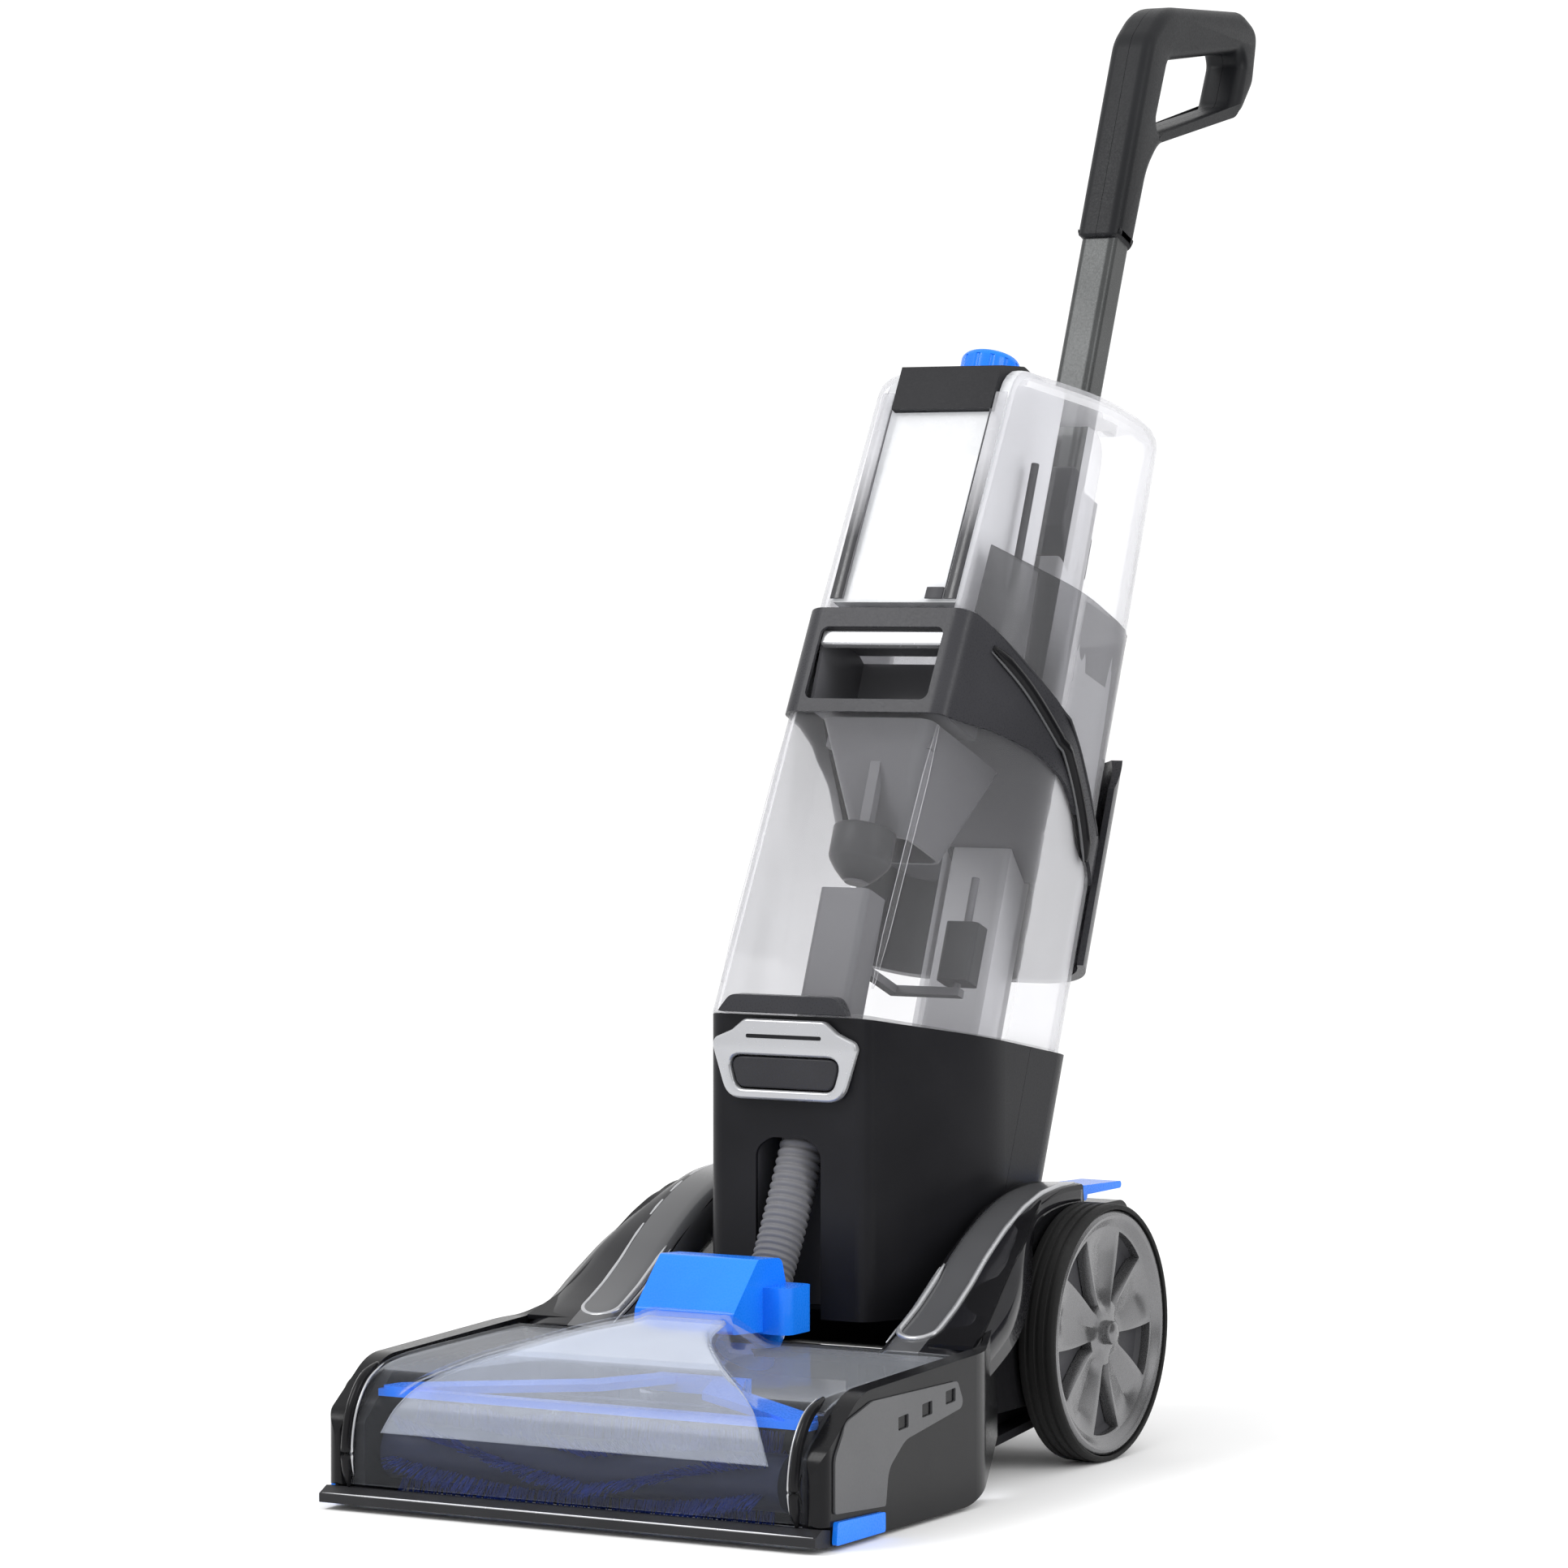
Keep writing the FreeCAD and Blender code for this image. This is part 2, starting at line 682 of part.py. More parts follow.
def belt_loop(grow):
    """Outline swept by the belt around its two pulleys."""
    gap = moving_gap * 0.4
    dy, dz = motor_y - brush_y, motor_z - brush_z
    span = math.hypot(dy, dz)
    slope = math.atan2(dz, dy)
    r1 = brush_pulley_radius + gap + grow
    r2 = motor_pulley_radius + gap + grow
    lift = math.acos((r1 - r2) / span)
    corners = []
    for angle, centre, radius in ((lift, (brush_y, brush_z), r1), (lift, (motor_y, motor_z), r2),
                                  (-lift, (motor_y, motor_z), r2), (-lift, (brush_y, brush_z), r1)):
        corners.append((centre[0] + radius * math.cos(slope + angle),
                        centre[1] + radius * math.sin(slope + angle)))
    web = plate_x(corners, belt_in_x, belt_out_x)
    return joined([web, rod_x(brush_y, brush_z, r1, belt_in_x, belt_out_x),
                   rod_x(motor_y, motor_z, r2, belt_in_x, belt_out_x)])


def brush_motor():
    can = rod_x(motor_y, motor_z, brush_motor_radius, belt_in_x - 14 - brush_motor_length, belt_in_x - 14)
    can = can.makeFillet(3.0, [e for e in can.Edges if abs(e.Length - 2 * math.pi * brush_motor_radius) < 1])
    foot = block(belt_in_x - 84, belt_in_x - 40, motor_y - 16, motor_y + 16, chassis_wall, motor_z)
    boss = rod_x(motor_y, motor_z, 8, belt_in_x - 16, belt_in_x - 6)
    bore = rod_x(motor_y, motor_z, 3 + running_gap, belt_in_x - 60, belt_in_x)
    return joined([can, foot, boss]).cut(bore)


def motor_pulley():
    shaft = rod_x(motor_y, motor_z, 3, belt_in_x - 50, belt_out_x + 1)
    return shaft.fuse(rod_x(motor_y, motor_z, motor_pulley_radius, belt_in_x - 1, belt_out_x + 1))


def water_pump():
    body = rod_x(motor_y, 34, 20, -120, -62)
    foot = block(-112, -72, motor_y - 14, motor_y + 14, chassis_wall, 34)
    outlet = rod_z(-91, motor_y, 4, 34, pump_top)
    return joined([body, foot, outlet])


def spray_bar():
    bar = rod_x(chamber_rear_y + 9, spray_z, 4, -cheek_in_x + 4, 130)
    tips = [rod_z(-120 + 60 * i, chamber_rear_y + 9, 2.5, spray_z - 7, spray_z) for i in range(5)]
    feed = rod_z(-91, motor_y, 3.9, pump_top + slip_gap, spray_z)
    link = Part.makeCylinder(3.9, motor_y - chamber_rear_y - 9, V(-91, motor_y, spray_z), V(0, -1, 0))
    return joined([bar, feed, link] + tips)


# ---------------------------------------------------------------- suction hose
def suction_hose():
    profile = Part.Wire([Part.makeCircle(hose_radius, hose_points[0], hose_start_dir)])
    tube = hose_wire.makePipeShell([profile], True, False)
    near = Part.makeCylinder(hose_radius + 1, 4, hose_points[0] - hose_start_dir * 1.6, hose_start_dir)
    return tube.cut(near)


add("nozzle_cover", nozzle_cover())
add("nozzle_lip", nozzle_lip())
add("brush_frame", brush_frame())
add("duct_connector", duct_connector())
add("suction_hose", suction_hose())
add("brush_roller", brush_roller())
add("bristle_tufts", bristle_tufts())
add("drive_belt", belt_loop(belt_thickness).cut(belt_loop(0)))
add("brush_motor", brush_motor())
add("motor_pulley", motor_pulley())
add("water_pump", water_pump())
add("spray_bar", spray_bar())
hose_fill = nodes["suction_hose"].Volume / (math.pi * hose_radius ** 2 * hose_wire.Length)
print("hose length", round(hose_wire.Length, 2), "bend radius", round(hose_bend, 1), "fill", round(hose_fill, 4))

# ---------------------------------------------------------------- shared sections of the upright


def tower_front(h):
    """How far the tanks' front face stands forward of the pivot line at height h."""
    return front_at_seat - front_rise * (h - tank_seat_front)


def tower_points(h, half, back):
    front = -tower_front(h)
    return [
        (-tower_front_half, front), (tower_front_half, front), (half, flare_y), (half, back),
        (-half, back), (-half, flare_y),
    ]


def tower(low, high, grow, half, back, corner):
    """Loft of the tank section between two heights."""
    wires = []
    for h in (low, high):
        points = offset_points(tower_points(h, half, back), grow)
        radii = [12 + grow, 12 + grow, 160, corner + grow, corner + grow, 160]
        wires.append(outline(points, radii, lambda p, h=h: V(p.x, p.y, h)))
    return Part.makeLoft(wires, True, True)


# side view of the line where the clean tank meets the lid, front to rear, as (y, h)
swoosh_top = [(-260, 466), (-198, 462), (-151, 446), (-111, 430), (-79, 411), (-50, 386), (-14, 352),
              (60, 310)]
# lower edge of the collar, front to rear
swoosh_low = [(-260, 379), (-212, 379), (-172, 385), (-127, 386), (-89, 377), (-52, 354), (-16, 322)]


def under_swoosh(drop, floor):
    """Everything below the swoosh line lowered by drop, down to a floor."""
    points = [(y, h - drop) for y, h in swoosh_top]
    return plate_x([(-260, floor), (60, floor)] + points[::-1], -BIG / 8, BIG / 8,
                   [0, 0, 0, 60, 60, 60, 60, 60, 60, 0])


def seat_line(lift):
    """Two ends of the seat between housing and dirty tank, raised by lift."""
    slope = (tank_seat_rear - tank_seat_front) / front_at_seat
    return (-300, tank_seat_front - slope * (300 - front_at_seat) + lift), (60,
            tank_seat_rear + slope * 60 + lift)


def above_seat(lift):
    front, rear = seat_line(lift)
    return plate_x([front, rear, (60, 900), (-300, 900)], -BIG / 8, BIG / 8)


spine_front = spine_y - tube_depth / 2 - 7
spine_back = spine_y + tube_depth / 2 + 7


def spine_channel(gap):
    """Slot in the back of both tanks for the spine and the handle tube."""
    return block(-spine_half_width - gap, spine_half_width + gap, spine_front - gap, 200, 0, 900)


# ---------------------------------------------------------------- motor housing
def housing_wire(z, grow):
    back = pivot_y + 9.3 + (z - pivot_z) * math.tan(LEAN)
    points = [
        (-housing_front_half, housing_front_y), (housing_front_half, housing_front_y),
        (housing_half_width - 2, housing_front_y + 98), (housing_half_width - 2, back),
        (-housing_half_width + 2, back), (-housing_half_width + 2, housing_front_y + 98),
    ]
    radii = [14 + grow, 14 + grow, 160, 44 + grow, 44 + grow, 160]
    return outline(offset_points(points, grow), radii, lambda p: V(p.x, p.y, z))


def housing_body(inset):
    """Housing block, cut by the tank seat above and rounded around the pivot below."""
    top = 380.0
    loft = Part.makeLoft([housing_wire(housing_bottom_z + inset, -inset), housing_wire(top, -inset)],
                         True, True)
    return loft.cut(lean(above_seat(-inset - panel_gap)))


def housing_shell():
    shell = housing_body(0).cut(housing_body(housing_wall))
    ear_out = housing_half_width - 3
    knuckle = rod_x(pivot_y, pivot_z, knuckle_radius, -ear_out, ear_out)
    knuckle = knuckle.cut(rod_x(pivot_y, pivot_z, knuckle_radius - 8, -ear_out + 12, ear_out - 12))
    shell = shell.fuse(knuckle.cut(housing_body(housing_wall)))
    shell = shell.cut(rod_x(pivot_y, pivot_z, knuckle_radius - 8, -ear_out + 12, ear_out - 12))
    shell = shell.cut(rod_x(pivot_y, pivot_z, hinge_pin_radius + running_gap, -BIG / 8, BIG / 8))
    arch = [
        (-recess_half_width, 90), (recess_half_width, 90), (recess_half_width, recess_top_z - 8),
        (recess_half_width - 12, recess_top_z), (-recess_half_width + 12,
                                                 recess_top_z), (-recess_half_width, recess_top_z - 8),
    ]
    door = plate_y(arch, housing_front_y - 5, housing_front_y + recess_depth - housing_wall,
                   [0, 0, 12, 12, 12, 12])
    button = block(-button_half - panel_gap, button_half + panel_gap, housing_front_y - 2,
                   housing_front_y + 20,
                   button_low - panel_gap, button_high + panel_gap)
    shell = shell.cut(door).cut(button)
    shell = shell.cut(Part.makeCylinder(hose_bore, 120, hose_points[2], hose_end_dir))
    for side in (-1, 1):
        shell = shell.cut(lean(rod_z(side * 60, 4, 2.5 + slip_gap, 150, 260)))
    return shell


def rear_half():
    return lean(block(-BIG / 8, BIG / 8, split_y, 300, -200, 900))


def front_half():
    return lean(block(-BIG / 8, BIG / 8, -400, split_y - slip_gap, -200, 900))


def recess_liner():
    """Closed channel behind the arched opening, with the cuff that takes the hose to the tank seat."""
    half = recess_half_width + housing_wall
    front = housing_front_y + housing_wall + 0.2
    back = housing_front_y + recess_depth
    outer = block(-half, half, front, back, housing_bottom_z + housing_wall + 0.5, recess_top_z + 9)
    inner = block(-half + housing_wall, half - housing_wall, front - 5, back - housing_wall, 90,
                  recess_top_z + 6)
    hole = Part.makeCylinder(hose_radius + slip_gap, 100, hose_points[2] - hose_end_dir * 100, hose_end_dir)
    cuff = Part.makeCylinder(hose_radius + 3, 80, hose_points[2], hose_end_dir)
    cuff = cuff.common(housing_body(housing_wall + 0.2))
    bore = Part.makeCylinder(hose_bore, 90, hose_points[2] - hose_end_dir, hose_end_dir)
    neck = Part.makeCylinder(hose_radius + 5, 40, hose_points[2] - hose_end_dir * 36, hose_end_dir)
    neck = neck.common(block(-60, 60, -200, 100, recess_top_z + 6, 400)).cut(hole)
    return joined([outer.cut(inner).cut(hole), neck, cuff]).cut(bore)


def latch_bezel():
    top, low = 317.0, 261.0
    points = [(-48, low), (48, low), (58, 300), (40, 306), (32, top), (-32, top), (-40, 306), (-58, 300)]
    plate = plate_y(points, housing_front_y - latch_proud, housing_front_y - 0.2, [10, 10, 6, 4, 5, 5, 4, 6])
    hole = plate_y([(-button_half - panel_gap, button_low - panel_gap),
                    (button_half + panel_gap, button_low - panel_gap),
                    (button_half + panel_gap, button_high + panel_gap), (-button_half - panel_gap,
                            button_high + panel_gap)],
                   housing_front_y - 20, housing_front_y + 2, 4)
    return plate.cut(hole)


def latch_button():
    points = [(-button_half, button_low), (button_half, button_low), (button_half, button_high),
              (-button_half, button_high)]
    return plate_y(points, housing_front_y - latch_proud + 1.5, housing_front_y + 8, 4)


add("housing_front", housing_shell().common(front_half()))
add("housing_rear", housing_shell().common(rear_half()))
add("recess_liner", recess_liner())
add("latch_bezel", latch_bezel())
add("latch_button", latch_button())

# ---------------------------------------------------------------- suction motor and fan
fan_low = motor_low + motor_length + 6


def suction_motor():
    can = rod_z(0, motor_axis_y, motor_radius, motor_low, motor_low + motor_length)
    can = can.makeFillet(4.0, [e for e in can.Edges if abs(e.Length - 2 * math.pi * motor_radius) < 1])
    feet = block(-62, 62, motor_axis_y - 12, motor_axis_y + 12, motor_low + 12, motor_low + 20)
    return can.fuse(feet).cut(rod_z(0, motor_axis_y, 4 + running_gap, motor_low + 20, 300))


def fan_housing():
    outer = rod_z(0, motor_axis_y, fan_radius + 6, fan_low - 5, fan_low + fan_height + 5)
    inner = rod_z(0, motor_axis_y, fan_radius + 3, fan_low - 2.5, fan_low + fan_height + 2.5)
    body = outer.cut(inner)
    body = body.cut(rod_z(0, motor_axis_y, 20, fan_low, fan_low + 60))
    return body.cut(rod_z(0, motor_axis_y, 9, fan_low - 20, fan_low))


def fan_wheel():
    plate = rod_z(0, motor_axis_y, fan_radius, fan_low, fan_low + 2)
    shaft = rod_z(0, motor_axis_y, 4, motor_low + 24, fan_low + fan_height - 2)
    blades = []
    blade_count = 8
    for i in range(blade_count):
        blade = block(12, fan_radius - 1, -1, 1, fan_low, fan_low + fan_height - 2)
        blade.rotate(V(0, 0, 0), V(0, 0, 1), 360.0 * i / blade_count)
        blade.translate(V(0, motor_axis_y, 0))
        blades.append(blade)
    hub = rod_z(0, motor_axis_y, 13, fan_low, fan_low + 8)
    return joined([plate, shaft, hub] + blades)


add("suction_motor", lean(suction_motor()))
add("fan_housing", lean(fan_housing()))
add("fan_wheel", lean(fan_wheel()))


# ---------------------------------------------------------------- spine, rear frame, handle
def rear_spine():
    front, back = spine_front, spine_back
    foot = seat_line(panel_gap)[1][1] - 4
    column = block(-spine_half_width, spine_half_width, front, back, foot, spine_top, 6)
    column = column.cut(lean_free_seat())
    pocket = block(-tube_width / 2 - slip_gap, tube_width / 2 + slip_gap, spine_y - tube_depth / 2 - slip_gap,
                   spine_y + tube_depth / 2 + slip_gap, tube_bottom - 0.5, spine_top + 1, 6)
    hollow = block(-spine_half_width + 5, spine_half_width - 5, front + 5, back - 5, foot + 30,
                   tube_bottom - 8)
    post_hole = Part.makeCylinder(4 + running_gap, 40, V(0, spine_back - 7, hook_height + 4.5), V(0, 1, 0))
    return column.cut(pocket).cut(hollow).cut(post_hole)


def lean_free_seat():
    """Everything below the housing's top face, where the spine stands."""
    front, rear = seat_line(0)
    return plate_x([(-300, -100), (60, -100), rear, front], -BIG / 8, BIG / 8)


def rear_frame():
    half = tower_half_width
    outer = tower(frame_bottom, frame_top + 18, collar_thickness + 1.7, half,
                  collar_back - collar_thickness - 1.7 + frame_bulge, 54)
    inner = tower(frame_bottom - 1, frame_top + 19, 0.9, half, collar_back - collar_thickness - 1.7, 54)
    reach = [(-12, 200), (60, 200), (60, frame_top + 18), (10, frame_top + 14), (-12, frame_top - 16)]
    seat = block(-spine_half_width - slip_gap, spine_half_width + slip_gap, -100, spine_back + slip_gap,
                 0, 900)
    return outer.cut(inner).common(plate_x(reach, -BIG / 8, BIG / 8)).cut(seat)


def handle_tube():
    outer = block(-tube_width / 2, tube_width / 2, spine_y - tube_depth / 2, spine_y + tube_depth / 2,
                  tube_bottom, tube_top, 6)
    inner = block(-tube_width / 2 + 2, tube_width / 2 - 2, spine_y - tube_depth / 2 + 2,
                  spine_y + tube_depth / 2 - 2,
                  tube_bottom - 1, tube_top + 1, 4)
    return outer.cut(inner)


loop_outline = [
    (-11, grip_bottom), (-11.5, 960), (-11.5, 1016), (8, 1052), (134, handle_height), (166,
            handle_height - 1),
    (173, 1064), (162, 1034), (36, 946), (24, 918), (22, grip_bottom),
]
loop_hole = [(26, 1014), (140, 1077), (147, 1070), (145, 1032), (30, 955), (24, 962)]


def handle_loop():
    """Whole handle moulding with its rounded rim, before it is split into halves."""
    half = handle_width / 2
    body = plate_x(loop_outline, -half, half, [7, 200, 36, 120, 20, 18, 20, 14, 30, 60, 7])
    hole = plate_x(loop_hole, -half - 1, half + 1, [10, 8, 6, 10, 10, 8])
    body = body.cut(hole)
    rim = [e for e in body.Edges if e.BoundBox.XLength < 0.1]
    body = body.makeFillet(handle_edge_radius, rim)
    sleeve = block(-tube_width / 2 - slip_gap, tube_width / 2 + slip_gap, spine_y - tube_depth / 2 - slip_gap,
                   spine_y + tube_depth / 2 + slip_gap, grip_bottom - 1, tube_top + 0.5, 6)
    return body.cut(sleeve)


def loop_half(side):
    keep = block(0.05, 60, -100, 300, 800, 1200)
    return handle_loop().common(keep if side > 0 else mirrored(keep))


def cord_gland():
    """Cord inlet at the back of the housing."""
    ring = Part.makeCylinder(9, 16, V(58, 6, 150), V(0, 1, 0))
    return ring.cut(Part.makeCylinder(4, 40, V(58, -10, 150), V(0, 1, 0))).cut(unlean(housing_body(0)))


def hook_shape(low, sign):
    """J-shaped cord hook standing behind the handle."""
    back = spine_back + slip_gap
    points = [
        (back, low), (back + 26, low), (back + 26, low + sign * 34), (back + 18, low + sign * 34),
        (back + 18, low + sign * 9), (back, low + sign * 9),
    ]
    if sign < 0:
        points = points[::-1]
    return plate_x(points, -9, 9, 2)


def upper_hook():
    post = Part.makeCylinder(4, 9, V(0, spine_back - 6, hook_height + 4.5), V(0, 1, 0))
    return hook_shape(hook_height, 1).fuse(post)


def lower_hook():
    """Fixed cord hook below the rear frame."""
    back = collar_back - 1
    low = frame_bottom + 70
    points = [(back, low), (back + 24, low - 4), (back + 24, low - 36), (back + 17, low - 36),
              (back + 16, low - 13), (back, low - 11)]
    return plate_x(points[::-1], -10, 10, 2)


add("rear_spine", lean(rear_spine()))
add("rear_frame", lean(rear_frame().fuse(lower_hook())))
add("handle_tube", lean(handle_tube()))
add("handle_loop_right", lean(loop_half(1)))
add("handle_loop_left", lean(loop_half(-1)))
add("cord_gland", lean(cord_gland()))
add("upper_cord_hook", lean(upper_hook()))

# ---------------------------------------------------------------- dirty water tank


def inlet_y():
    """Leaning-frame y where the line of the hose crosses the tank seat."""
    near = to_leaning(hose_points[2].y, hose_points[2].z)
    far = to_leaning(hose_points[2].y + 100 * hose_end_dir.y, hose_points[2].z + 100 * hose_end_dir.z)
    slope = (tank_seat_rear - tank_seat_front) / front_at_seat
    gap_near = near[1] - (tank_seat_front + slope * (front_at_seat + near[0]))
    gap_far = far[1] - (tank_seat_front + slope * (front_at_seat + far[0]))
    return near[0] + (far[0] - near[0]) * gap_near / (gap_near - gap_far)


def hose_line(radius):
    """Long cylinder on the line of the hose's upper end."""
    return Part.makeCylinder(radius, 120, hose_points[2], hose_end_dir)


def dirty_tower(grow):
    return tower(60, 480, grow, tower_half_width, dirty_back, dirty_corner)


def pocket_block(grow):
    half = pocket_half + grow
    return block(-half, half, -300, -pocket_back + grow, pocket_low - grow, pocket_high + grow)


def dirty_tank_shell():
    outer = dirty_tower(0).common(above_seat(0)).common(under_swoosh(4.0, 0))
    inner = dirty_tower(-tank_wall).common(above_seat(tank_wall)).common(under_swoosh(3.0, 0))
    inner = inner.cut(spine_channel(moving_gap + tank_wall))
    shell = outer.cut(inner).cut(spine_channel(moving_gap))
    return shell.cut(pocket_block(3.0)).cut(unlean(hose_line(hose_bore - 1)).cut(above_seat(20)))


def tank_lid():
    """Plate that closes the dirty tank along the swoosh line, with the finger pocket at its front."""
    plate = under_swoosh(0.8, 0).cut(under_swoosh(3.8, -10))
    plate = plate.common(dirty_tower(0)).cut(spine_channel(moving_gap))
    front = -tower_front(pocket_low) + 11
    cup = pocket_block(2.4).common(block(-BIG / 8, BIG / 8, front, 0, 0, 900))
    return joined([plate, cup]).cut(pocket_block(0)).common(under_swoosh(0.8, 0))


def tank_collar():
    """Dark collar: front face with the grip opening, and two wings swept to the rear."""
    outer = dirty_tower(collar_thickness + 0.4)
    inner = dirty_tower(0.4)
    band = [(y, h) for y, h in swoosh_low] + [(y, h - 0.8) for y, h in swoosh_top[:7]][::-1]
    side = plate_x(band, -BIG / 8, BIG / 8, [0, 30, 60, 60, 60, 60, 0, 0, 60, 60, 60, 60, 60, 0])
    ring = outer.cut(inner).common(side)
    ring = ring.cut(block(-BIG / 8, BIG / 8, -16, 100, 0, 900))
    window = plate_y([(-pocket_half, pocket_low), (pocket_half, pocket_low), (pocket_half, pocket_high),
                      (-pocket_half, pocket_high)],
                     -300, -150, 6)
    return ring.cut(window)


def tank_carry_bar():
    front = -tower_front(pocket_high) - 1
    bar = [(front, pocket_high - 13), (front + 9, pocket_high - 13), (front + 11, pocket_high - 2.5),
           (front + 2, pocket_high - 1)]
    return plate_x(bar, -pocket_half + slip_gap, pocket_half - slip_gap, 2)


def separator_funnel():
    """Tapered hood under the lid that turns the air and drops the water."""
    wires = []
    for h, half, near, far in ((382, 45, 84, 204), (304, 24, 108, 168)):
        wires.append(outline([(-half, -far), (half, -far), (half, -near), (-half, -near)], 10, lambda p,
                             h=h: V(p.x, p.y, h)))
    outer = Part.makeLoft(wires, True, True)
    wires = []
    for h, half, near, far in ((382.1, 42.5, 86.5, 201.5), (303.9, 21.5, 110.5, 165.5)):
        wires.append(outline([(-half, -far), (half, -far), (half, -near), (-half, -near)], 8, lambda p,
                             h=h: V(p.x, p.y, h)))
    y = inlet_y()
    cup = rod_z(0, y, 22, drip_low + 16, drip_low + 38).fuse(Part.makeCone(8, 22, 16, V(0, y, drip_low),
            V(0, 0, 1)))
    cup = cup.cut(rod_z(0, y, 19, drip_low + 19, drip_low + 39))
    strut = block(-4, 4, y - 4, y + 4, drip_low + 12, 372)
    bridge = block(-43, 43, y - 4, y + 4, 364, 372)
    web = block(-21, 21, y - 4, y + 4, drip_low + 28, drip_low + 38)
    return joined([outer.cut(Part.makeLoft(wires, True, True)), cup, strut, bridge, web])


def inlet_duct():
    """Duct that carries dirty water up from the tank floor, with the rod that guides the float."""
    y = inlet_y()
    outer = block(-20, 20, y - 15, y + 15, 0, drip_low - 8, 5)
    inner = block(-17.5, 17.5, y - 12.5, y + 12.5, -1, drip_low, 4)
    rod = rod_z(float_x, float_y, 3, float_low - 10, duct_top)
    low, high = float_low - 10, float_low - 4
    arm = block(-4, 4, y + 13, float_y + 4, low, high).fuse(block(-4, float_x + 5, float_y - 4,
            float_y + 4, low, high))
    return joined([outer.cut(inner).common(above_seat(tank_wall + 0.2)), rod, arm])


def tank_float():
    body = block(float_x - 13, float_x + 13, float_y - 10, float_y + 10, float_low,
                 float_low + float_height, 4)
    return body.cut(rod_z(float_x, float_y, 3 + 0.08, float_low - 1, 400))


def tank_catch():
    """Dark arch on the tank's front edge that the latch holds."""
    points = [(-52, 306.5), (52, 306.5), (52, 322), (42, 334), (-42, 334), (-52, 322)]
    arch = plate_y(points, housing_front_y - 9, housing_front_y + 2, [0, 0, 8, 10, 10, 8])
    arch = unlean(arch).common(above_seat(0.5))
    return arch.cut(dirty_tower(0.2))


add("dirty_tank_shell", lean(dirty_tank_shell()))
add("tank_lid", lean(tank_lid()))
add("tank_collar", lean(tank_collar()))
add("tank_carry_bar", lean(tank_carry_bar()))
add("separator_funnel", lean(separator_funnel()))
add("inlet_duct", lean(inlet_duct()))
add("tank_float", lean(tank_float()))
add("tank_catch", lean(tank_catch()))

# ---------------------------------------------------------------- clean water tank


def clean_tower(grow):
    """Clean tank block: tapered walls that close into a rounded top."""
    wires = []
    stations = [(290, 0.0), (clean_tank_top - dome_rise, 0.0)]
    steps = 4
    for i in range(1, steps + 1):
        angle = math.pi / 2 * i / (steps + 0.6)
        stations.append((clean_tank_top - dome_rise + dome_rise * math.sin(angle),
                         dome_rise * (1 - math.cos(angle))))
    for h, pull in stations:
        taper = 3.0 * max(0.0, h - 450.0) / (clean_tank_top - 450.0)
        points = offset_points(tower_points(h, tower_half_width, clean_back), grow - pull - taper)
        corner = clean_corner - pull + grow - taper
        height = h + (grow if h > clean_tank_top - dome_rise else 0)
        slope = clean_top_slope if h > 400 else 0
        radii = [10, 10, 140, corner, corner, 140]
        wires.append(outline(points, radii, lambda p, z=height, k=slope: V(p.x, p.y, z + k * p.y)))
    return Part.makeLoft(wires, True, True)


def container_block(grow):
    half = container_half_width + grow
    return block(-half, half, -400, container_back + grow, container_bottom - grow - 30, 900)


def clean_tank_shell():
    floor_gap = 0.7
    outer = clean_tower(0).cut(under_swoosh(-floor_gap, -10)).cut(spine_channel(moving_gap))
    inner = clean_tower(-tank_wall).cut(under_swoosh(-floor_gap - tank_wall,
                                                     -10)).cut(spine_channel(moving_gap + tank_wall))
    inner = inner.cut(container_block(tank_wall + panel_gap))
    return outer.cut(inner).cut(container_block(panel_gap))


def solution_container():
    outer = clean_tower(0).common(container_block(0))
    slab = block(-BIG / 8, BIG / 8, -400, 0, container_bottom, container_top)
    shell = outer.common(slab)
    inner = clean_tower(-tank_wall).common(container_block(-tank_wall))
    shell = shell.cut(inner.common(block(-BIG / 8, BIG / 8, -400, 0, container_bottom + tank_wall,
                                         container_top + 1)))
    rail = outer.common(block(cap_half_width + panel_gap, container_half_width, -400, 0,
                              container_top - 1, 900))
    return joined([shell, rail, mirrored(rail)])


cap_top = clean_tank_top + clean_top_slope * knob_y + 1


def top_cap():
    """Dark cap that closes the solution container and carries the knob."""
    low, high = container_top + panel_gap, cap_top + 2
    points = [(-240, low), (container_back, low), (container_back, high), (knob_y - 22, high),
              (-240, high - 34)]
    half = cap_half_width
    wedge = plate_x(points, -half, half, [0, 0, 1, 10, 0]).common(clean_front_slab(0.6))
    hollow = plate_x([(-176, low - 1), (container_back - 4, low - 1), (container_back - 4, high - 5),
                      (knob_y - 20, high - 5), (-176, high - 14)], -half + 3, half - 3, 4)
    boss = rod_z(0, knob_y, 12, low, high)
    return joined([wedge.cut(hollow), boss]).cut(rod_z(0, knob_y, 8 + running_gap, 0, 900))


def clean_front_slab(grow):
    """Everything behind the tanks' front face, moved forward by grow."""
    low, high = 300.0, 760.0
    return plate_x([(-tower_front(low) - grow, low), (0, low), (0, high),
                    (-tower_front(high) - grow, high)], -BIG / 8, BIG / 8)


def clean_knob():
    base = cap_top + 2 + slip_gap
    head = rod_z(0, knob_y, knob_radius, base, base + knob_height)
    head = head.makeFillet(6.0, [e for e in head.Edges if e.BoundBox.ZMin > base + knob_height - 0.5])
    grip_count = 12
    for i in range(grip_count):
        angle = 2 * math.pi * i / grip_count
        x = (knob_radius + 2.2) * math.cos(angle)
        y = knob_y + (knob_radius + 2.2) * math.sin(angle)
        head = head.cut(rod_z(x, y, 3, base - 1, base + knob_height - 5))
    return head.fuse(rod_z(0, knob_y, 8, container_top + 6, base + 1))


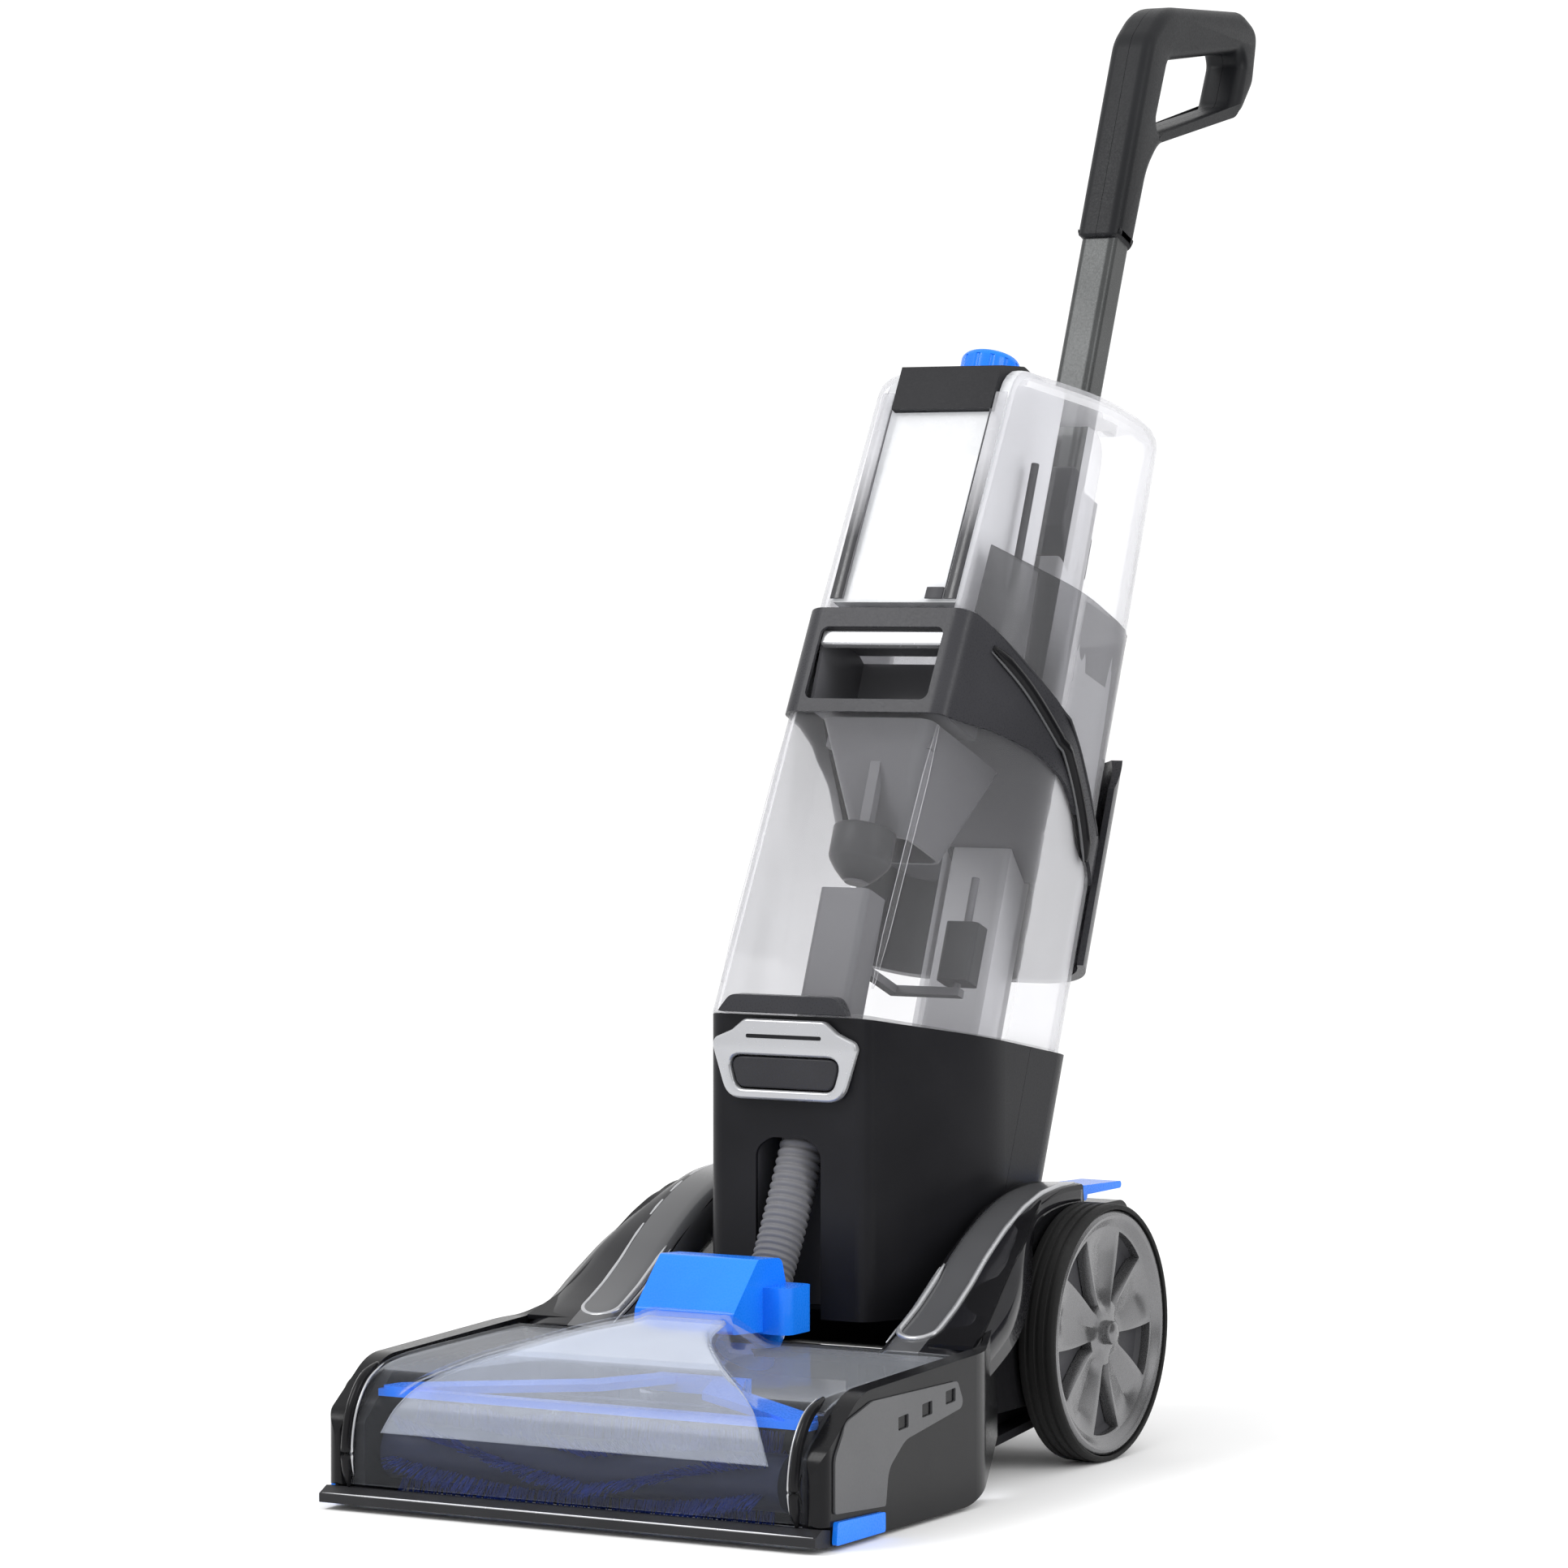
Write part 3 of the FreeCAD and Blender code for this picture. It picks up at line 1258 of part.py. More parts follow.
def tank_valve():
    """Outlet valve on the tank floor with its pickup tube."""
    floor = 470.0
    return ring_z(62, -150, 9, 1.6, floor, floor + 14).fuse(ring_z(62, -150, 3, 1.6, floor + 13, 600))


add("clean_tank_shell", lean(clean_tank_shell()))
add("solution_container", lean(solution_container()))
add("top_cap", lean(top_cap()))
add("clean_knob", lean(clean_knob()))
add("tank_valve", lean(tank_valve()))

# ---------------------------------------------------------------- export
whole = Part.makeCompound([Part.makeCompound([shape]) for shape in nodes.values()])
extent = whole.optimalBoundingBox(True, False)
origin_shift = V(0, -(extent.YMin + extent.YMax) / 2, -extent.ZMin)
os.makedirs("parts", exist_ok=True)
for name, shape in nodes.items():
    placed = shape.copy()
    placed.translate(origin_shift)
    placed.exportStep("parts/" + name + ".step")
print(len(nodes), "nodes, size", round(extent.XLength, 1), round(extent.YLength, 1), round(extent.ZLength, 1))
print("origin shift", round(origin_shift.y, 3), round(origin_shift.z, 3))
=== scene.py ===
import math
import random

import bmesh
import bpy
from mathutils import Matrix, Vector


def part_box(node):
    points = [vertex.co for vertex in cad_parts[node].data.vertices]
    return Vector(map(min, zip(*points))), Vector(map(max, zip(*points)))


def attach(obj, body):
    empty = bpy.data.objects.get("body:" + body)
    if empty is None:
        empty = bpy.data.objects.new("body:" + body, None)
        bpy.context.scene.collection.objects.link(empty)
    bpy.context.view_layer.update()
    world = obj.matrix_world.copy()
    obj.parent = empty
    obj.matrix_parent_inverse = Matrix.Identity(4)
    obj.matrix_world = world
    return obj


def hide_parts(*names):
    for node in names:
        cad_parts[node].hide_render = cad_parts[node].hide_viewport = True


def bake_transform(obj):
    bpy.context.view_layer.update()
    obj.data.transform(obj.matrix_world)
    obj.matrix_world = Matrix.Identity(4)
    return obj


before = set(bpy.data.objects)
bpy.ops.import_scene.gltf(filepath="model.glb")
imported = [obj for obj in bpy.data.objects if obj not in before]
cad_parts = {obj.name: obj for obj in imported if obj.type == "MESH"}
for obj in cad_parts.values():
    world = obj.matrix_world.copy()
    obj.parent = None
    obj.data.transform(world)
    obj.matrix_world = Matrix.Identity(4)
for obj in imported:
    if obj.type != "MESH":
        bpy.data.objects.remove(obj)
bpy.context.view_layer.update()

random.seed(11)

# ------------------------------------------------------------ the part's own frame
LEAN = math.radians(21.7)
COS, SIN = math.cos(LEAN), math.sin(LEAN)
PIVOT_Y, PIVOT_Z = 40.0, 95.0
WHEEL_Y = 17.6
SIDES = ((1, "right"), (-1, "left"))
axle_low, axle_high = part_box("wheel_axles")
SHIFT_Y = (axle_low.y + axle_high.y) / 2 - WHEEL_Y / 1000


def base(x, y, z):
    """A point of the base, given in millimetres, in the row frame in metres."""
    return Vector((x / 1000, y / 1000 + SHIFT_Y, z / 1000))


def lean(x, across, up):
    """A point of the leaning body: across runs back from its pivot, up runs along it."""
    return base(x, PIVOT_Y + across * COS + up * SIN, PIVOT_Z - across * SIN + up * COS)


# ------------------------------------------------------------ materials
NOISE_LOW, NOISE_HIGH = 0.3, 0.7
GRAIN_DEPTH = 0.0004


def new_material(name):
    mat = bpy.data.materials.new(name)
    mat.use_nodes = True
    tree = mat.node_tree
    tree.nodes.clear()
    out = tree.nodes.new("ShaderNodeOutputMaterial")
    shader = tree.nodes.new("ShaderNodeBsdfPrincipled")
    tree.links.new(shader.outputs[0], out.inputs[0])
    return mat, tree, shader, out


def noise(tree, scale, detail=3.0, stretch=(1, 1, 1)):
    coord = tree.nodes.new("ShaderNodeTexCoord")
    mapping = tree.nodes.new("ShaderNodeMapping")
    mapping.inputs["Scale"].default_value = stretch
    tree.links.new(coord.outputs["Object"], mapping.inputs[0])
    tex = tree.nodes.new("ShaderNodeTexNoise")
    tex.inputs["Scale"].default_value = scale
    tex.inputs["Detail"].default_value = detail
    tree.links.new(mapping.outputs[0], tex.inputs["Vector"])
    return tex.outputs["Fac"]


def blended(tree, factor, dark, light):
    ramp = tree.nodes.new("ShaderNodeValToRGB")
    ramp.color_ramp.elements[0].color = (*dark, 1)
    ramp.color_ramp.elements[1].color = (*light, 1)
    ramp.color_ramp.elements[0].position = NOISE_LOW
    ramp.color_ramp.elements[1].position = NOISE_HIGH
    tree.links.new(factor, ramp.inputs[0])
    return ramp.outputs[0]


def spread(tree, factor, low, high):
    node = tree.nodes.new("ShaderNodeMapRange")
    node.inputs["From Min"].default_value = NOISE_LOW
    node.inputs["From Max"].default_value = NOISE_HIGH
    node.inputs["To Min"].default_value = low
    node.inputs["To Max"].default_value = high
    tree.links.new(factor, node.inputs[0])
    return node.outputs[0]


def finish_of(name, color, rough, vary=0.12, grain=700.0, bump=0.05, metal=0.0, coat=0.0, patch=9.0,
              stretch=(1, 1, 1), gloss=0.16, rough_vary=0.06):
    """Moulded, painted or brushed surface with colour drift, uneven gloss and a fine grain."""
    mat, tree, shader, _ = new_material(name)
    dark = tuple(c * (1 - vary) for c in color)
    light = tuple(min(1, c * (1 + vary) + 0.004) for c in color)
    tree.links.new(blended(tree, noise(tree, patch), dark, light), shader.inputs["Base Color"])
    fine = noise(tree, grain, 2.0, stretch)
    tree.links.new(spread(tree, fine, max(0.02, rough - rough_vary), rough + rough_vary),
                   shader.inputs["Roughness"])
    bumps = tree.nodes.new("ShaderNodeBump")
    bumps.inputs["Strength"].default_value = bump
    bumps.inputs["Distance"].default_value = GRAIN_DEPTH
    tree.links.new(fine, bumps.inputs["Height"])
    tree.links.new(bumps.outputs[0], shader.inputs["Normal"])
    shader.inputs["Metallic"].default_value = metal
    shader.inputs["Coat Weight"].default_value = coat
    shader.inputs["Specular IOR Level"].default_value = gloss
    return mat


def clear_of(name, tint, body, share, rough=0.08, patch=7.0, edge=1.18, gain=0.55):
    """Clear or smoky plastic: mostly lets through what is behind it, and mirrors at its edges."""
    mat, tree, shader, out = new_material(name)
    dark = tuple(c * 0.9 for c in body)
    tree.links.new(blended(tree, noise(tree, patch), dark, body), shader.inputs["Base Color"])
    tree.links.new(spread(tree, noise(tree, 90.0), rough * 0.6, rough * 1.5), shader.inputs["Roughness"])
    through = tree.nodes.new("ShaderNodeBsdfTransparent")
    through.inputs[0].default_value = (*tint, 1)
    fresnel = tree.nodes.new("ShaderNodeFresnel")
    fresnel.inputs["IOR"].default_value = edge
    add = tree.nodes.new("ShaderNodeMath")
    add.operation = "ADD"
    add.use_clamp = True
    add.inputs[1].default_value = share
    rim = tree.nodes.new("ShaderNodeMath")
    rim.operation = "MULTIPLY"
    rim.inputs[1].default_value = gain
    tree.links.new(fresnel.outputs[0], rim.inputs[0])
    tree.links.new(rim.outputs[0], add.inputs[0])
    mix = tree.nodes.new("ShaderNodeMixShader")
    tree.links.new(add.outputs[0], mix.inputs[0])
    tree.links.new(through.outputs[0], mix.inputs[1])
    tree.links.new(shader.outputs[0], mix.inputs[2])
    tree.links.new(mix.outputs[0], out.inputs[0])
    return mat


def fade_of(name, dark, light):
    """Smoked strip: opaque and dark at its foot, clearing towards the top."""
    mat, tree, shader, out = new_material(name)
    coord = tree.nodes.new("ShaderNodeTexCoord")
    split = tree.nodes.new("ShaderNodeSeparateXYZ")
    tree.links.new(coord.outputs["Generated"], split.inputs[0])
    tree.links.new(blended(tree, split.outputs["Z"], dark, light), shader.inputs["Base Color"])
    tree.links.new(spread(tree, noise(tree, 300.0), 0.18, 0.26), shader.inputs["Roughness"])
    cover = tree.nodes.new("ShaderNodeMapRange")
    cover.inputs["From Min"].default_value = 0.05
    cover.inputs["From Max"].default_value = 0.95
    cover.inputs["To Min"].default_value = 0.92
    cover.inputs["To Max"].default_value = 0.28
    tree.links.new(split.outputs["Z"], cover.inputs[0])
    through = tree.nodes.new("ShaderNodeBsdfTransparent")
    through.inputs[0].default_value = (0.93, 0.93, 0.94, 1)
    mix = tree.nodes.new("ShaderNodeMixShader")
    tree.links.new(cover.outputs[0], mix.inputs[0])
    tree.links.new(through.outputs[0], mix.inputs[1])
    tree.links.new(shader.outputs[0], mix.inputs[2])
    tree.links.new(mix.outputs[0], out.inputs[0])
    return mat


charcoal = finish_of("charcoal_shell", (0.0095, 0.0095, 0.0115), 0.36, bump=0.06, gloss=0.12)
gloss_black = finish_of("gloss_black", (0.006, 0.006, 0.007), 0.2, bump=0.02, gloss=0.14)
frame_grey = finish_of("frame_grey", (0.031, 0.031, 0.035), 0.3, bump=0.03, gloss=0.16)
soft_black = finish_of("soft_black", (0.009, 0.0095, 0.011), 0.42, bump=0.1, gloss=0.16)
tube_paint = finish_of("tube_paint", (0.06, 0.062, 0.062), 0.28, metal=0.35, bump=0.03)
# Silver of the real trims; the same finish also draws the painted highlight on the nozzle's end arches.
silver_and_highlight = finish_of("silver_and_highlight_plastic", (0.45, 0.455, 0.47), 0.26, vary=0.04, grain=300.0, metal=0.6,
                   bump=0.005, gloss=0.4, rough_vary=0.015)
trim_grey = finish_of("trim_grey", (0.085, 0.086, 0.09), 0.34, vary=0.06, bump=0.02, gloss=0.25)
# Lighter grey that paints sheen on glossy black: the painted reflection on the fenders' inner faces and the painted
# highlight along the collar groove.
painted_sheen_grey = finish_of("painted_sheen_grey", (0.075, 0.076, 0.08), 0.2, vary=0.08, bump=0.01, coat=0.2, gloss=0.4)
light_grey = finish_of("light_grey", (0.42, 0.42, 0.43), 0.4, vary=0.05)
blue = finish_of("blue_plastic", (0.008, 0.2, 0.95), 0.28, bump=0.03, coat=0.2)
rim_paint = finish_of("rim_paint", (0.19, 0.19, 0.195), 0.26, vary=0.03, metal=0.75, bump=0.01, gloss=0.4,
                      rough_vary=0.02)
tyre_rubber = finish_of("tyre_rubber", (0.012, 0.012, 0.012), 0.6, bump=0.25, grain=420.0)
steel = finish_of("brushed_steel", (0.5, 0.5, 0.52), 0.3, metal=1.0, stretch=(1, 1, 12))
lip_plastic = finish_of("lip_plastic", (0.02, 0.02, 0.022), 0.4, bump=0.08)
hose_rubber = finish_of("hose_rubber", (0.14, 0.14, 0.15), 0.42, bump=0.1)
brush_body = finish_of("brush_body", (0.01, 0.014, 0.04), 0.4, bump=0.05)
bristle_nylon = finish_of("bristle_nylon", (0.01, 0.03, 0.2), 0.45, vary=0.4, patch=60.0)
belt_rubber = finish_of("belt_rubber", (0.015, 0.015, 0.015), 0.7, bump=0.2)
inner_dark = finish_of("inner_dark", (0.05, 0.05, 0.055), 0.45)
inner_grey = finish_of("inner_grey", (0.11, 0.11, 0.118), 0.36)
float_black = finish_of("float_black", (0.03, 0.03, 0.033), 0.4)
clear_cover = clear_of("clear_cover", (0.95, 0.96, 0.98), (0.7, 0.72, 0.76), 0.02, edge=1.1, gain=0.28)
channel_white = clear_of("channel_white", (0.92, 0.94, 0.98), (0.78, 0.8, 0.84), 0.24, rough=0.12,
                         patch=30.0, edge=1.1, gain=0.6)
fender_gloss = finish_of("fender_gloss", (0.008, 0.008, 0.01), 0.16, bump=0.01, coat=0.12, gloss=0.2)
smoky = clear_of("smoky_tank", (0.975, 0.975, 0.98), (0.85, 0.85, 0.87), 0.02)
clear_tank = clear_of("clear_tank", (0.98, 0.98, 0.985), (0.9, 0.9, 0.92), 0.02)
tint_grey = clear_of("tint_grey", (0.78, 0.78, 0.79), (0.3, 0.3, 0.31), 0.1)
frosted = clear_of("frosted_tank", (0.97, 0.975, 0.985), (0.95, 0.96, 0.98), 0.55, rough=0.3)
strip_fade = fade_of("strip_fade", (0.03, 0.03, 0.034), (0.55, 0.55, 0.57))

LOOKS = {
    charcoal: "base_chassis base_deck housing_front housing_rear cord_gland upper_cord_hook top_cap",
    gloss_black: "fender_right fender_left side_panel_right side_panel_left",
    soft_black: "handle_loop_right handle_loop_left",
    frame_grey: "tank_collar rear_frame tank_catch",
    tube_paint: "handle_tube",
    silver_and_highlight: "fender_trims latch_bezel tank_carry_bar",
    trim_grey: "side_trims",
    blue: "power_pedal recline_pedal release_tabs duct_connector clean_knob brush_frame",
    rim_paint: "wheel_rim_right wheel_rim_left hub_cap_right hub_cap_left",
    tyre_rubber: "wheel_tyre_right wheel_tyre_left",
    steel: "wheel_axles recline_pins base_screws brush_motor suction_motor motor_pulley",
    lip_plastic: "nozzle_lip",
    hose_rubber: "suction_hose",
    brush_body: "brush_roller",
    bristle_nylon: "bristle_tufts",
    belt_rubber: "drive_belt",
    inner_dark: "water_pump spray_bar fan_housing fan_wheel tank_valve recess_liner latch_button",
    light_grey: "rear_spine",
    inner_grey: "tank_lid separator_funnel inlet_duct",
    float_black: "tank_float",
    clear_cover: "nozzle_cover",
    smoky: "dirty_tank_shell",
    clear_tank: "clean_tank_shell",
    frosted: "solution_container",
}
for look, names in LOOKS.items():
    for node_name in names.split():
        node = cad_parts[node_name]
        node.data.materials.clear()
        node.data.materials.append(look)

# ------------------------------------------------------------ mesh helpers
def new_piece(name, verts, faces, look, body, replaces=(), smooth=True, ride=True, crease=None):
    """A mesh piece that rides on a body and takes the given finish."""
    mesh = bpy.data.meshes.new(name)
    mesh.from_pydata([tuple(v) for v in verts], [], faces)
    mesh.validate()
    bm = bmesh.new()
    bm.from_mesh(mesh)
    bmesh.ops.remove_doubles(bm, verts=bm.verts, dist=1e-6)
    bmesh.ops.recalc_face_normals(bm, faces=bm.faces)
    bm.to_mesh(mesh)
    bm.free()
    for polygon in mesh.polygons:
        polygon.use_smooth = smooth
    if crease:
        mesh.set_sharp_from_angle(angle=math.radians(crease))
    mesh.materials.append(look)
    obj = bpy.data.objects.new(name, mesh)
    bpy.context.scene.collection.objects.link(obj)
    if ride:
        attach(obj, body)
    if replaces:
        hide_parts(*replaces)
    return obj


def rings_mesh(rings, closed_ring=True, caps=True):
    """Vertices and faces of a skin through rings of equal length."""
    count = len(rings[0])
    verts = [p for ring in rings for p in ring]
    faces = []
    for i in range(len(rings) - 1):
        for j in range(count if closed_ring else count - 1):
            k = (j + 1) % count
            faces.append((i * count + j, i * count + k, (i + 1) * count + k, (i + 1) * count + j))
    if caps and closed_ring:
        faces.append(tuple(range(count))[::-1])
        faces.append(tuple((len(rings) - 1) * count + j for j in range(count)))
    return verts, faces


def modifier(obj, kind, **values):
    mod = obj.modifiers.new(kind.lower(), kind)
    for key, value in values.items():
        setattr(mod, key, value)
    return mod


def curve_points(points, steps):
    """Catmull-Rom line through 2-D or 3-D points."""
    dense = []
    for i in range(len(points) - 1):
        p0 = points[max(i - 1, 0)]
        p1, p2 = points[i], points[i + 1]
        p3 = points[min(i + 2, len(points) - 1)]
        for s in range(steps):
            t = s / steps
            dense.append(tuple(
                0.5 * (2 * b + (c - a) * t + (2 * a - 5 * b + 4 * c - d) * t * t + (3 * b - a - 3 * c + d) * t ** 3)
                for a, b, c, d in zip(p0, p1, p2, p3)))
    dense.append(tuple(points[-1]))
    return dense


def smoothstep(low, high, value):
    t = min(1.0, max(0.0, (value - low) / (high - low)))
    return t * t * (3 - 2 * t)


def lerp(a, b, t):
    return a + (b - a) * t


# ------------------------------------------------------------ suction hose
def hose_piece():
    start, bend, end = base(0, -190, 95), base(0, -151, 141), base(0, -97, 262)
    radius, ridge, pitch, around, per_ridge = 0.0154, 0.0009, 0.0052, 36, 6
    length = (bend - start).length + (end - bend).length
    count = int(length / pitch) * per_ridge
    rings = []
    for i in range(count + 1):
        t = i / count
        centre = start * (1 - t) ** 2 + bend * 2 * t * (1 - t) + end * t * t
        ahead = ((bend - start) * (1 - t) + (end - bend) * t).normalized()
        side = Vector((1, 0, 0))
        up = side.cross(ahead)
        wave = 0.5 + 0.5 * math.cos(2 * math.pi * i / per_ridge)
        r = radius - ridge + 2 * ridge * wave ** 0.6
        rings.append([centre + (side * math.cos(a) + up * math.sin(a)) * r
                      for a in (2 * math.pi * j / around for j in range(around))])
    verts, faces = rings_mesh(rings)
    obj = new_piece("suction_hose_skin", verts, faces, hose_rubber, None, ["suction_hose"],
                    ride=False)
    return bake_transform(obj)


hose_piece()

# ------------------------------------------------------------ brush
BRUSH_Y, BRUSH_Z, BRUSH_R, CORE_R = -385.0, 36.0, 34.0, 19.0


def bristles():
    """Two chevron rows of thin filaments wound round the roller."""
    verts, faces = [], []
    rows, along, per_tuft = 6, 58, 9
    first_x, last_x, twist = -150, 132, 0.0095
    for row in range(rows):
        for i in range(along):
            x = lerp(first_x, last_x, i / (along - 1))
            turn = 2 * math.pi * row / rows + abs(x) * twist
            for _ in range(per_tuft):
                dx, da = random.uniform(-2.0, 2.0), random.uniform(-0.075, 0.075)
                tip_dx = dx * 1.6 + random.uniform(-0.8, 0.8)
                tip_da = da * 1.5 + random.uniform(-0.03, 0.03)
                reach = BRUSH_R - random.uniform(0.2, 1.4)
                root = len(verts)
                for r, ox, oa, w in ((CORE_R - 0.5, dx, da, 0.42), (reach, tip_dx, tip_da, 0.3)):
                    a = turn + oa
                    y, z = r * math.sin(a), r * math.cos(a)
                    for px, pa in ((-w, 0), (0, w), (w, 0), (0, -w)):
                        verts.append(base(x + ox + px, BRUSH_Y + y + pa * math.cos(a),
                                          BRUSH_Z + z - pa * math.sin(a)))
                for j in range(4):
                    k = (j + 1) % 4
                    faces.append((root + j, root + k, root + 4 + k, root + 4 + j))
                faces.append((root + 4, root + 5, root + 6, root + 7))
                faces.append((root + 3, root + 2, root + 1, root))
    new_piece("brush_bristles", verts, faces, bristle_nylon, "brush", ["bristle_tufts"],
              smooth=False)


bristles()

# ------------------------------------------------------------ nozzle cover
COVER_HALF, COVER_WALL, COVER_EDGE, EDGE_FALL, CHANNEL_SLOPE = 177.0, 0.0022, 7, 4.0, 11
SKIN = [(-428.5, 18), (-429.5, 32), (-429, 46), (-426, 60), (-419, 75), (-406, 87), (-388, 95),
        (-366, 98.5), (-330, 100),
        (-290, 101), (-250, 102), (-214.5, 102.5)]
RIDGE = [(-428.5, 18), (-429.5, 32), (-430, 46), (-427, 60), (-421, 76), (-408, 91), (-388, 104),
         (-366, 113), (-330, 122.5),
         (-290, 126), (-262, 127), (-214.5, 102.5)]
RIDGE_HALF = [172, 168, 163, 157, 149, 136, 112, 88, 60, 44, 39, 38]


def cover_sheet(name, look, drop, reach, back_y, foot=0.0, replaces=(), x_steps=150):
    """The cover's skin with the raised triangular channel pressed into it."""
    skin, ridge = curve_points(SKIN, 7), curve_points(RIDGE, 7)
    halves = curve_points([(h, 0) for h in RIDGE_HALF], 7)
    rows = []
    for (y0, z0), (y1, z1), (half, _) in zip(skin, ridge, halves):
        if y0 > back_y or z0 < foot:
            continue
        row = []
        for i in range(x_steps + 1):
            x = lerp(-reach(half), reach(half), i / x_steps)
            raised = 1 - smoothstep(half - CHANNEL_SLOPE, half, abs(x))
            edge = smoothstep(COVER_HALF - COVER_EDGE, COVER_HALF, abs(x)) * EDGE_FALL
            y, z = lerp(y0, y1, raised), lerp(z0, z1, raised)
            inward = edge if y0 < -400 else 0
            downward = edge if y0 > -425 else 0
            row.append(base(x, y + inward + drop * 0.6, z - downward - drop))
        rows.append(row)
    verts, faces = rings_mesh(rows, closed_ring=False)
    obj = new_piece(name, verts, faces, look, "base", replaces)
    modifier(obj, "SOLIDIFY", thickness=COVER_WALL, offset=-1.0)


cover_sheet("nozzle_window", clear_cover, 0.0, lambda half: COVER_HALF, -214, replaces=["nozzle_cover"])
cover_sheet("channel_liner", channel_white, 4.5, lambda half: max(8.0, half - 9), -268, foot=56.0)

# ------------------------------------------------------------ fenders
CREST = [(-201, 99), (-186, 106.5), (-168, 114.5), (-150, 123.5), (-128, 137), (-104, 154), (-76, 170.5),
         (-48, 183),
         (-22, 190.5), (6, 193.6), (33, 193.6)]


REAR_REACH, FRONT_REACH, FENDER_WALL, SKIN_LIFT, FENDER_FOOT = 146.4, 177.4, 0.0018, 1.0, 50.0
# Inward of this the fender skin takes the lighter grey of a painted reflection.
PAINTED_SHEEN_EDGE = 0.1405
PIPING_X, PIPING_INNER_X, PIPING_FRONT_Y, PIPING_END_Y = 141.0, 112.0, -176, -112


def fender_section(reach, droop, skirt):
    """(x, fall below the crest) from the inner wall's foot over the crown to the skirt."""
    shoulder = lerp(144, reach, 0.45), lerp(144, reach, 0.75)
    return [(108.2, 46.0), (108.0, 14.0), (108.6, 6.5), (111.0, 2.4), (115.0, 0.5), (119.0, 0.2), (124.0, 0.1),
            (130.0, 0.0), (136.0, 0.0), (139.5, 0.0), (142.0, 0.0), (shoulder[0], 0.6),
            (shoulder[1], droop * 0.3), (reach - 1.2, droop * 0.65), (reach, droop), (reach, droop + 5.0),
            (reach, droop + skirt)]


def fender_skin(side, tag):
    """Smooth pod: flat inner wall, rounded crown, and a shoulder that sweeps out in front of the wheel."""
    crest = curve_points(CREST, 6)
    rings = []
    for i, (y, z) in enumerate(crest):
        y0, z0 = crest[max(i - 1, 0)]
        y1, z1 = crest[min(i + 1, len(crest) - 1)]
        along = math.hypot(y1 - y0, z1 - z0)
        ny, nz = -(z1 - z0) / along, (y1 - y0) / along
        sweep = smoothstep(-28, -150, y)
        section = fender_section(lerp(REAR_REACH, FRONT_REACH, sweep), lerp(5.0, 8.0, sweep),
                                 lerp(8.0, 22.0, smoothstep(-45, -95, y)))
        ring = []
        for x, fall in section:
            drop = fall - SKIN_LIFT
            ring.append(base(side * x, y - ny * drop, max(z - nz * drop, FENDER_FOOT)))
        rings.append(ring)
    verts, faces = rings_mesh(rings, closed_ring=False)
    obj = new_piece("fender_skin_" + tag, verts, faces, fender_gloss, "base")
    # The inner wall and the crown inside the piping take the lighter grey: a painted reflection on the pod's glossy
    # black.
    obj.data.materials.append(painted_sheen_grey)
    for polygon in obj.data.polygons:
        if abs(polygon.center.x) < PAINTED_SHEEN_EDGE:
            polygon.material_index = 1
    modifier(obj, "SOLIDIFY", thickness=FENDER_WALL, offset=-1.0 if side > 0 else 1.0)


def tube_along(name, points, radius, look, body, replaces=(), around=10, flat=1.0):
    """Round or flattened bead along 3-D points given in the row frame."""
    rings = []
    for i, p in enumerate(points):
        ahead = (points[min(i + 1, len(points) - 1)] - points[max(i - 1, 0)]).normalized()
        side = ahead.cross(Vector((0, 0, 1)))
        side = side.normalized() if side.length > 1e-4 else Vector((1, 0, 0))
        up = side.cross(ahead)
        thin = min(1.0, 0.35 + min(i, len(points) - 1 - i) / 6)
        rings.append([p + (side * math.cos(a) + up * math.sin(a) * flat) * radius * thin
                      for a in (2 * math.pi * j / around for j in range(around))])
    verts, faces = rings_mesh(rings)
    return new_piece(name, verts, faces, look, body, replaces)


def crest_point(side, x, y, lift=1.2):
    """Point on the fender's crown at a given y."""
    for (y0, z0), (y1, z1) in zip(CREST, CREST[1:]):
        if y0 <= y <= y1:
            t = (y - y0) / (y1 - y0)
            return base(side * x, y, lerp(z0, z1, t) + lift)
    return base(side * x, y, CREST[-1][1] + lift)


for side, tag in SIDES:
    fender_skin(side, tag)
    outer_line = [crest_point(side, PIPING_X, lerp(30, PIPING_FRONT_Y, i / 60)) for i in range(61)]
    hook_line = [crest_point(side, lerp(PIPING_X, PIPING_INNER_X, smoothstep(0, 1, i / 14)),
                             PIPING_FRONT_Y - 14 * math.sin(math.pi * i / 14) * 0.8) for i in range(15)]
    inner_line = [crest_point(side, PIPING_INNER_X,
                              lerp(PIPING_FRONT_Y, PIPING_END_Y, i / 20)) for i in range(21)]
    line = outer_line + hook_line[1:] + inner_line[1:]
    tube_along("fender_piping_" + tag, line, 0.0022, silver_and_highlight, "base", ["fender_trims"])
    inner_edge = [crest_point(side, 108.6, lerp(-190, PIPING_END_Y, i / 24), -1.0) for i in range(25)]
    tube_along("fender_edge_bead_" + tag, inner_edge, 0.0012, silver_and_highlight, "base")

# ------------------------------------------------------------ rounded outlines
def rounded(points, radii, steps=6):
    """Outline with its corners rounded, always with the same count of points."""
    line = []
    for i, point in enumerate(points):
        p = Vector(point)
        u = Vector(points[i - 1]) - p
        v = Vector(points[(i + 1) % len(points)]) - p
        half = u.angle(v) / 2
        cut = min(radii[i] / math.tan(half), 0.48 * u.length, 0.48 * v.length)
        start, end = p + u.normalized() * cut, p + v.normalized() * cut
        for k in range(steps + 1):
            t = k / steps
            line.append(tuple(start * (1 - t) ** 2 + p * 2 * t * (1 - t) + end * t * t))
    return line


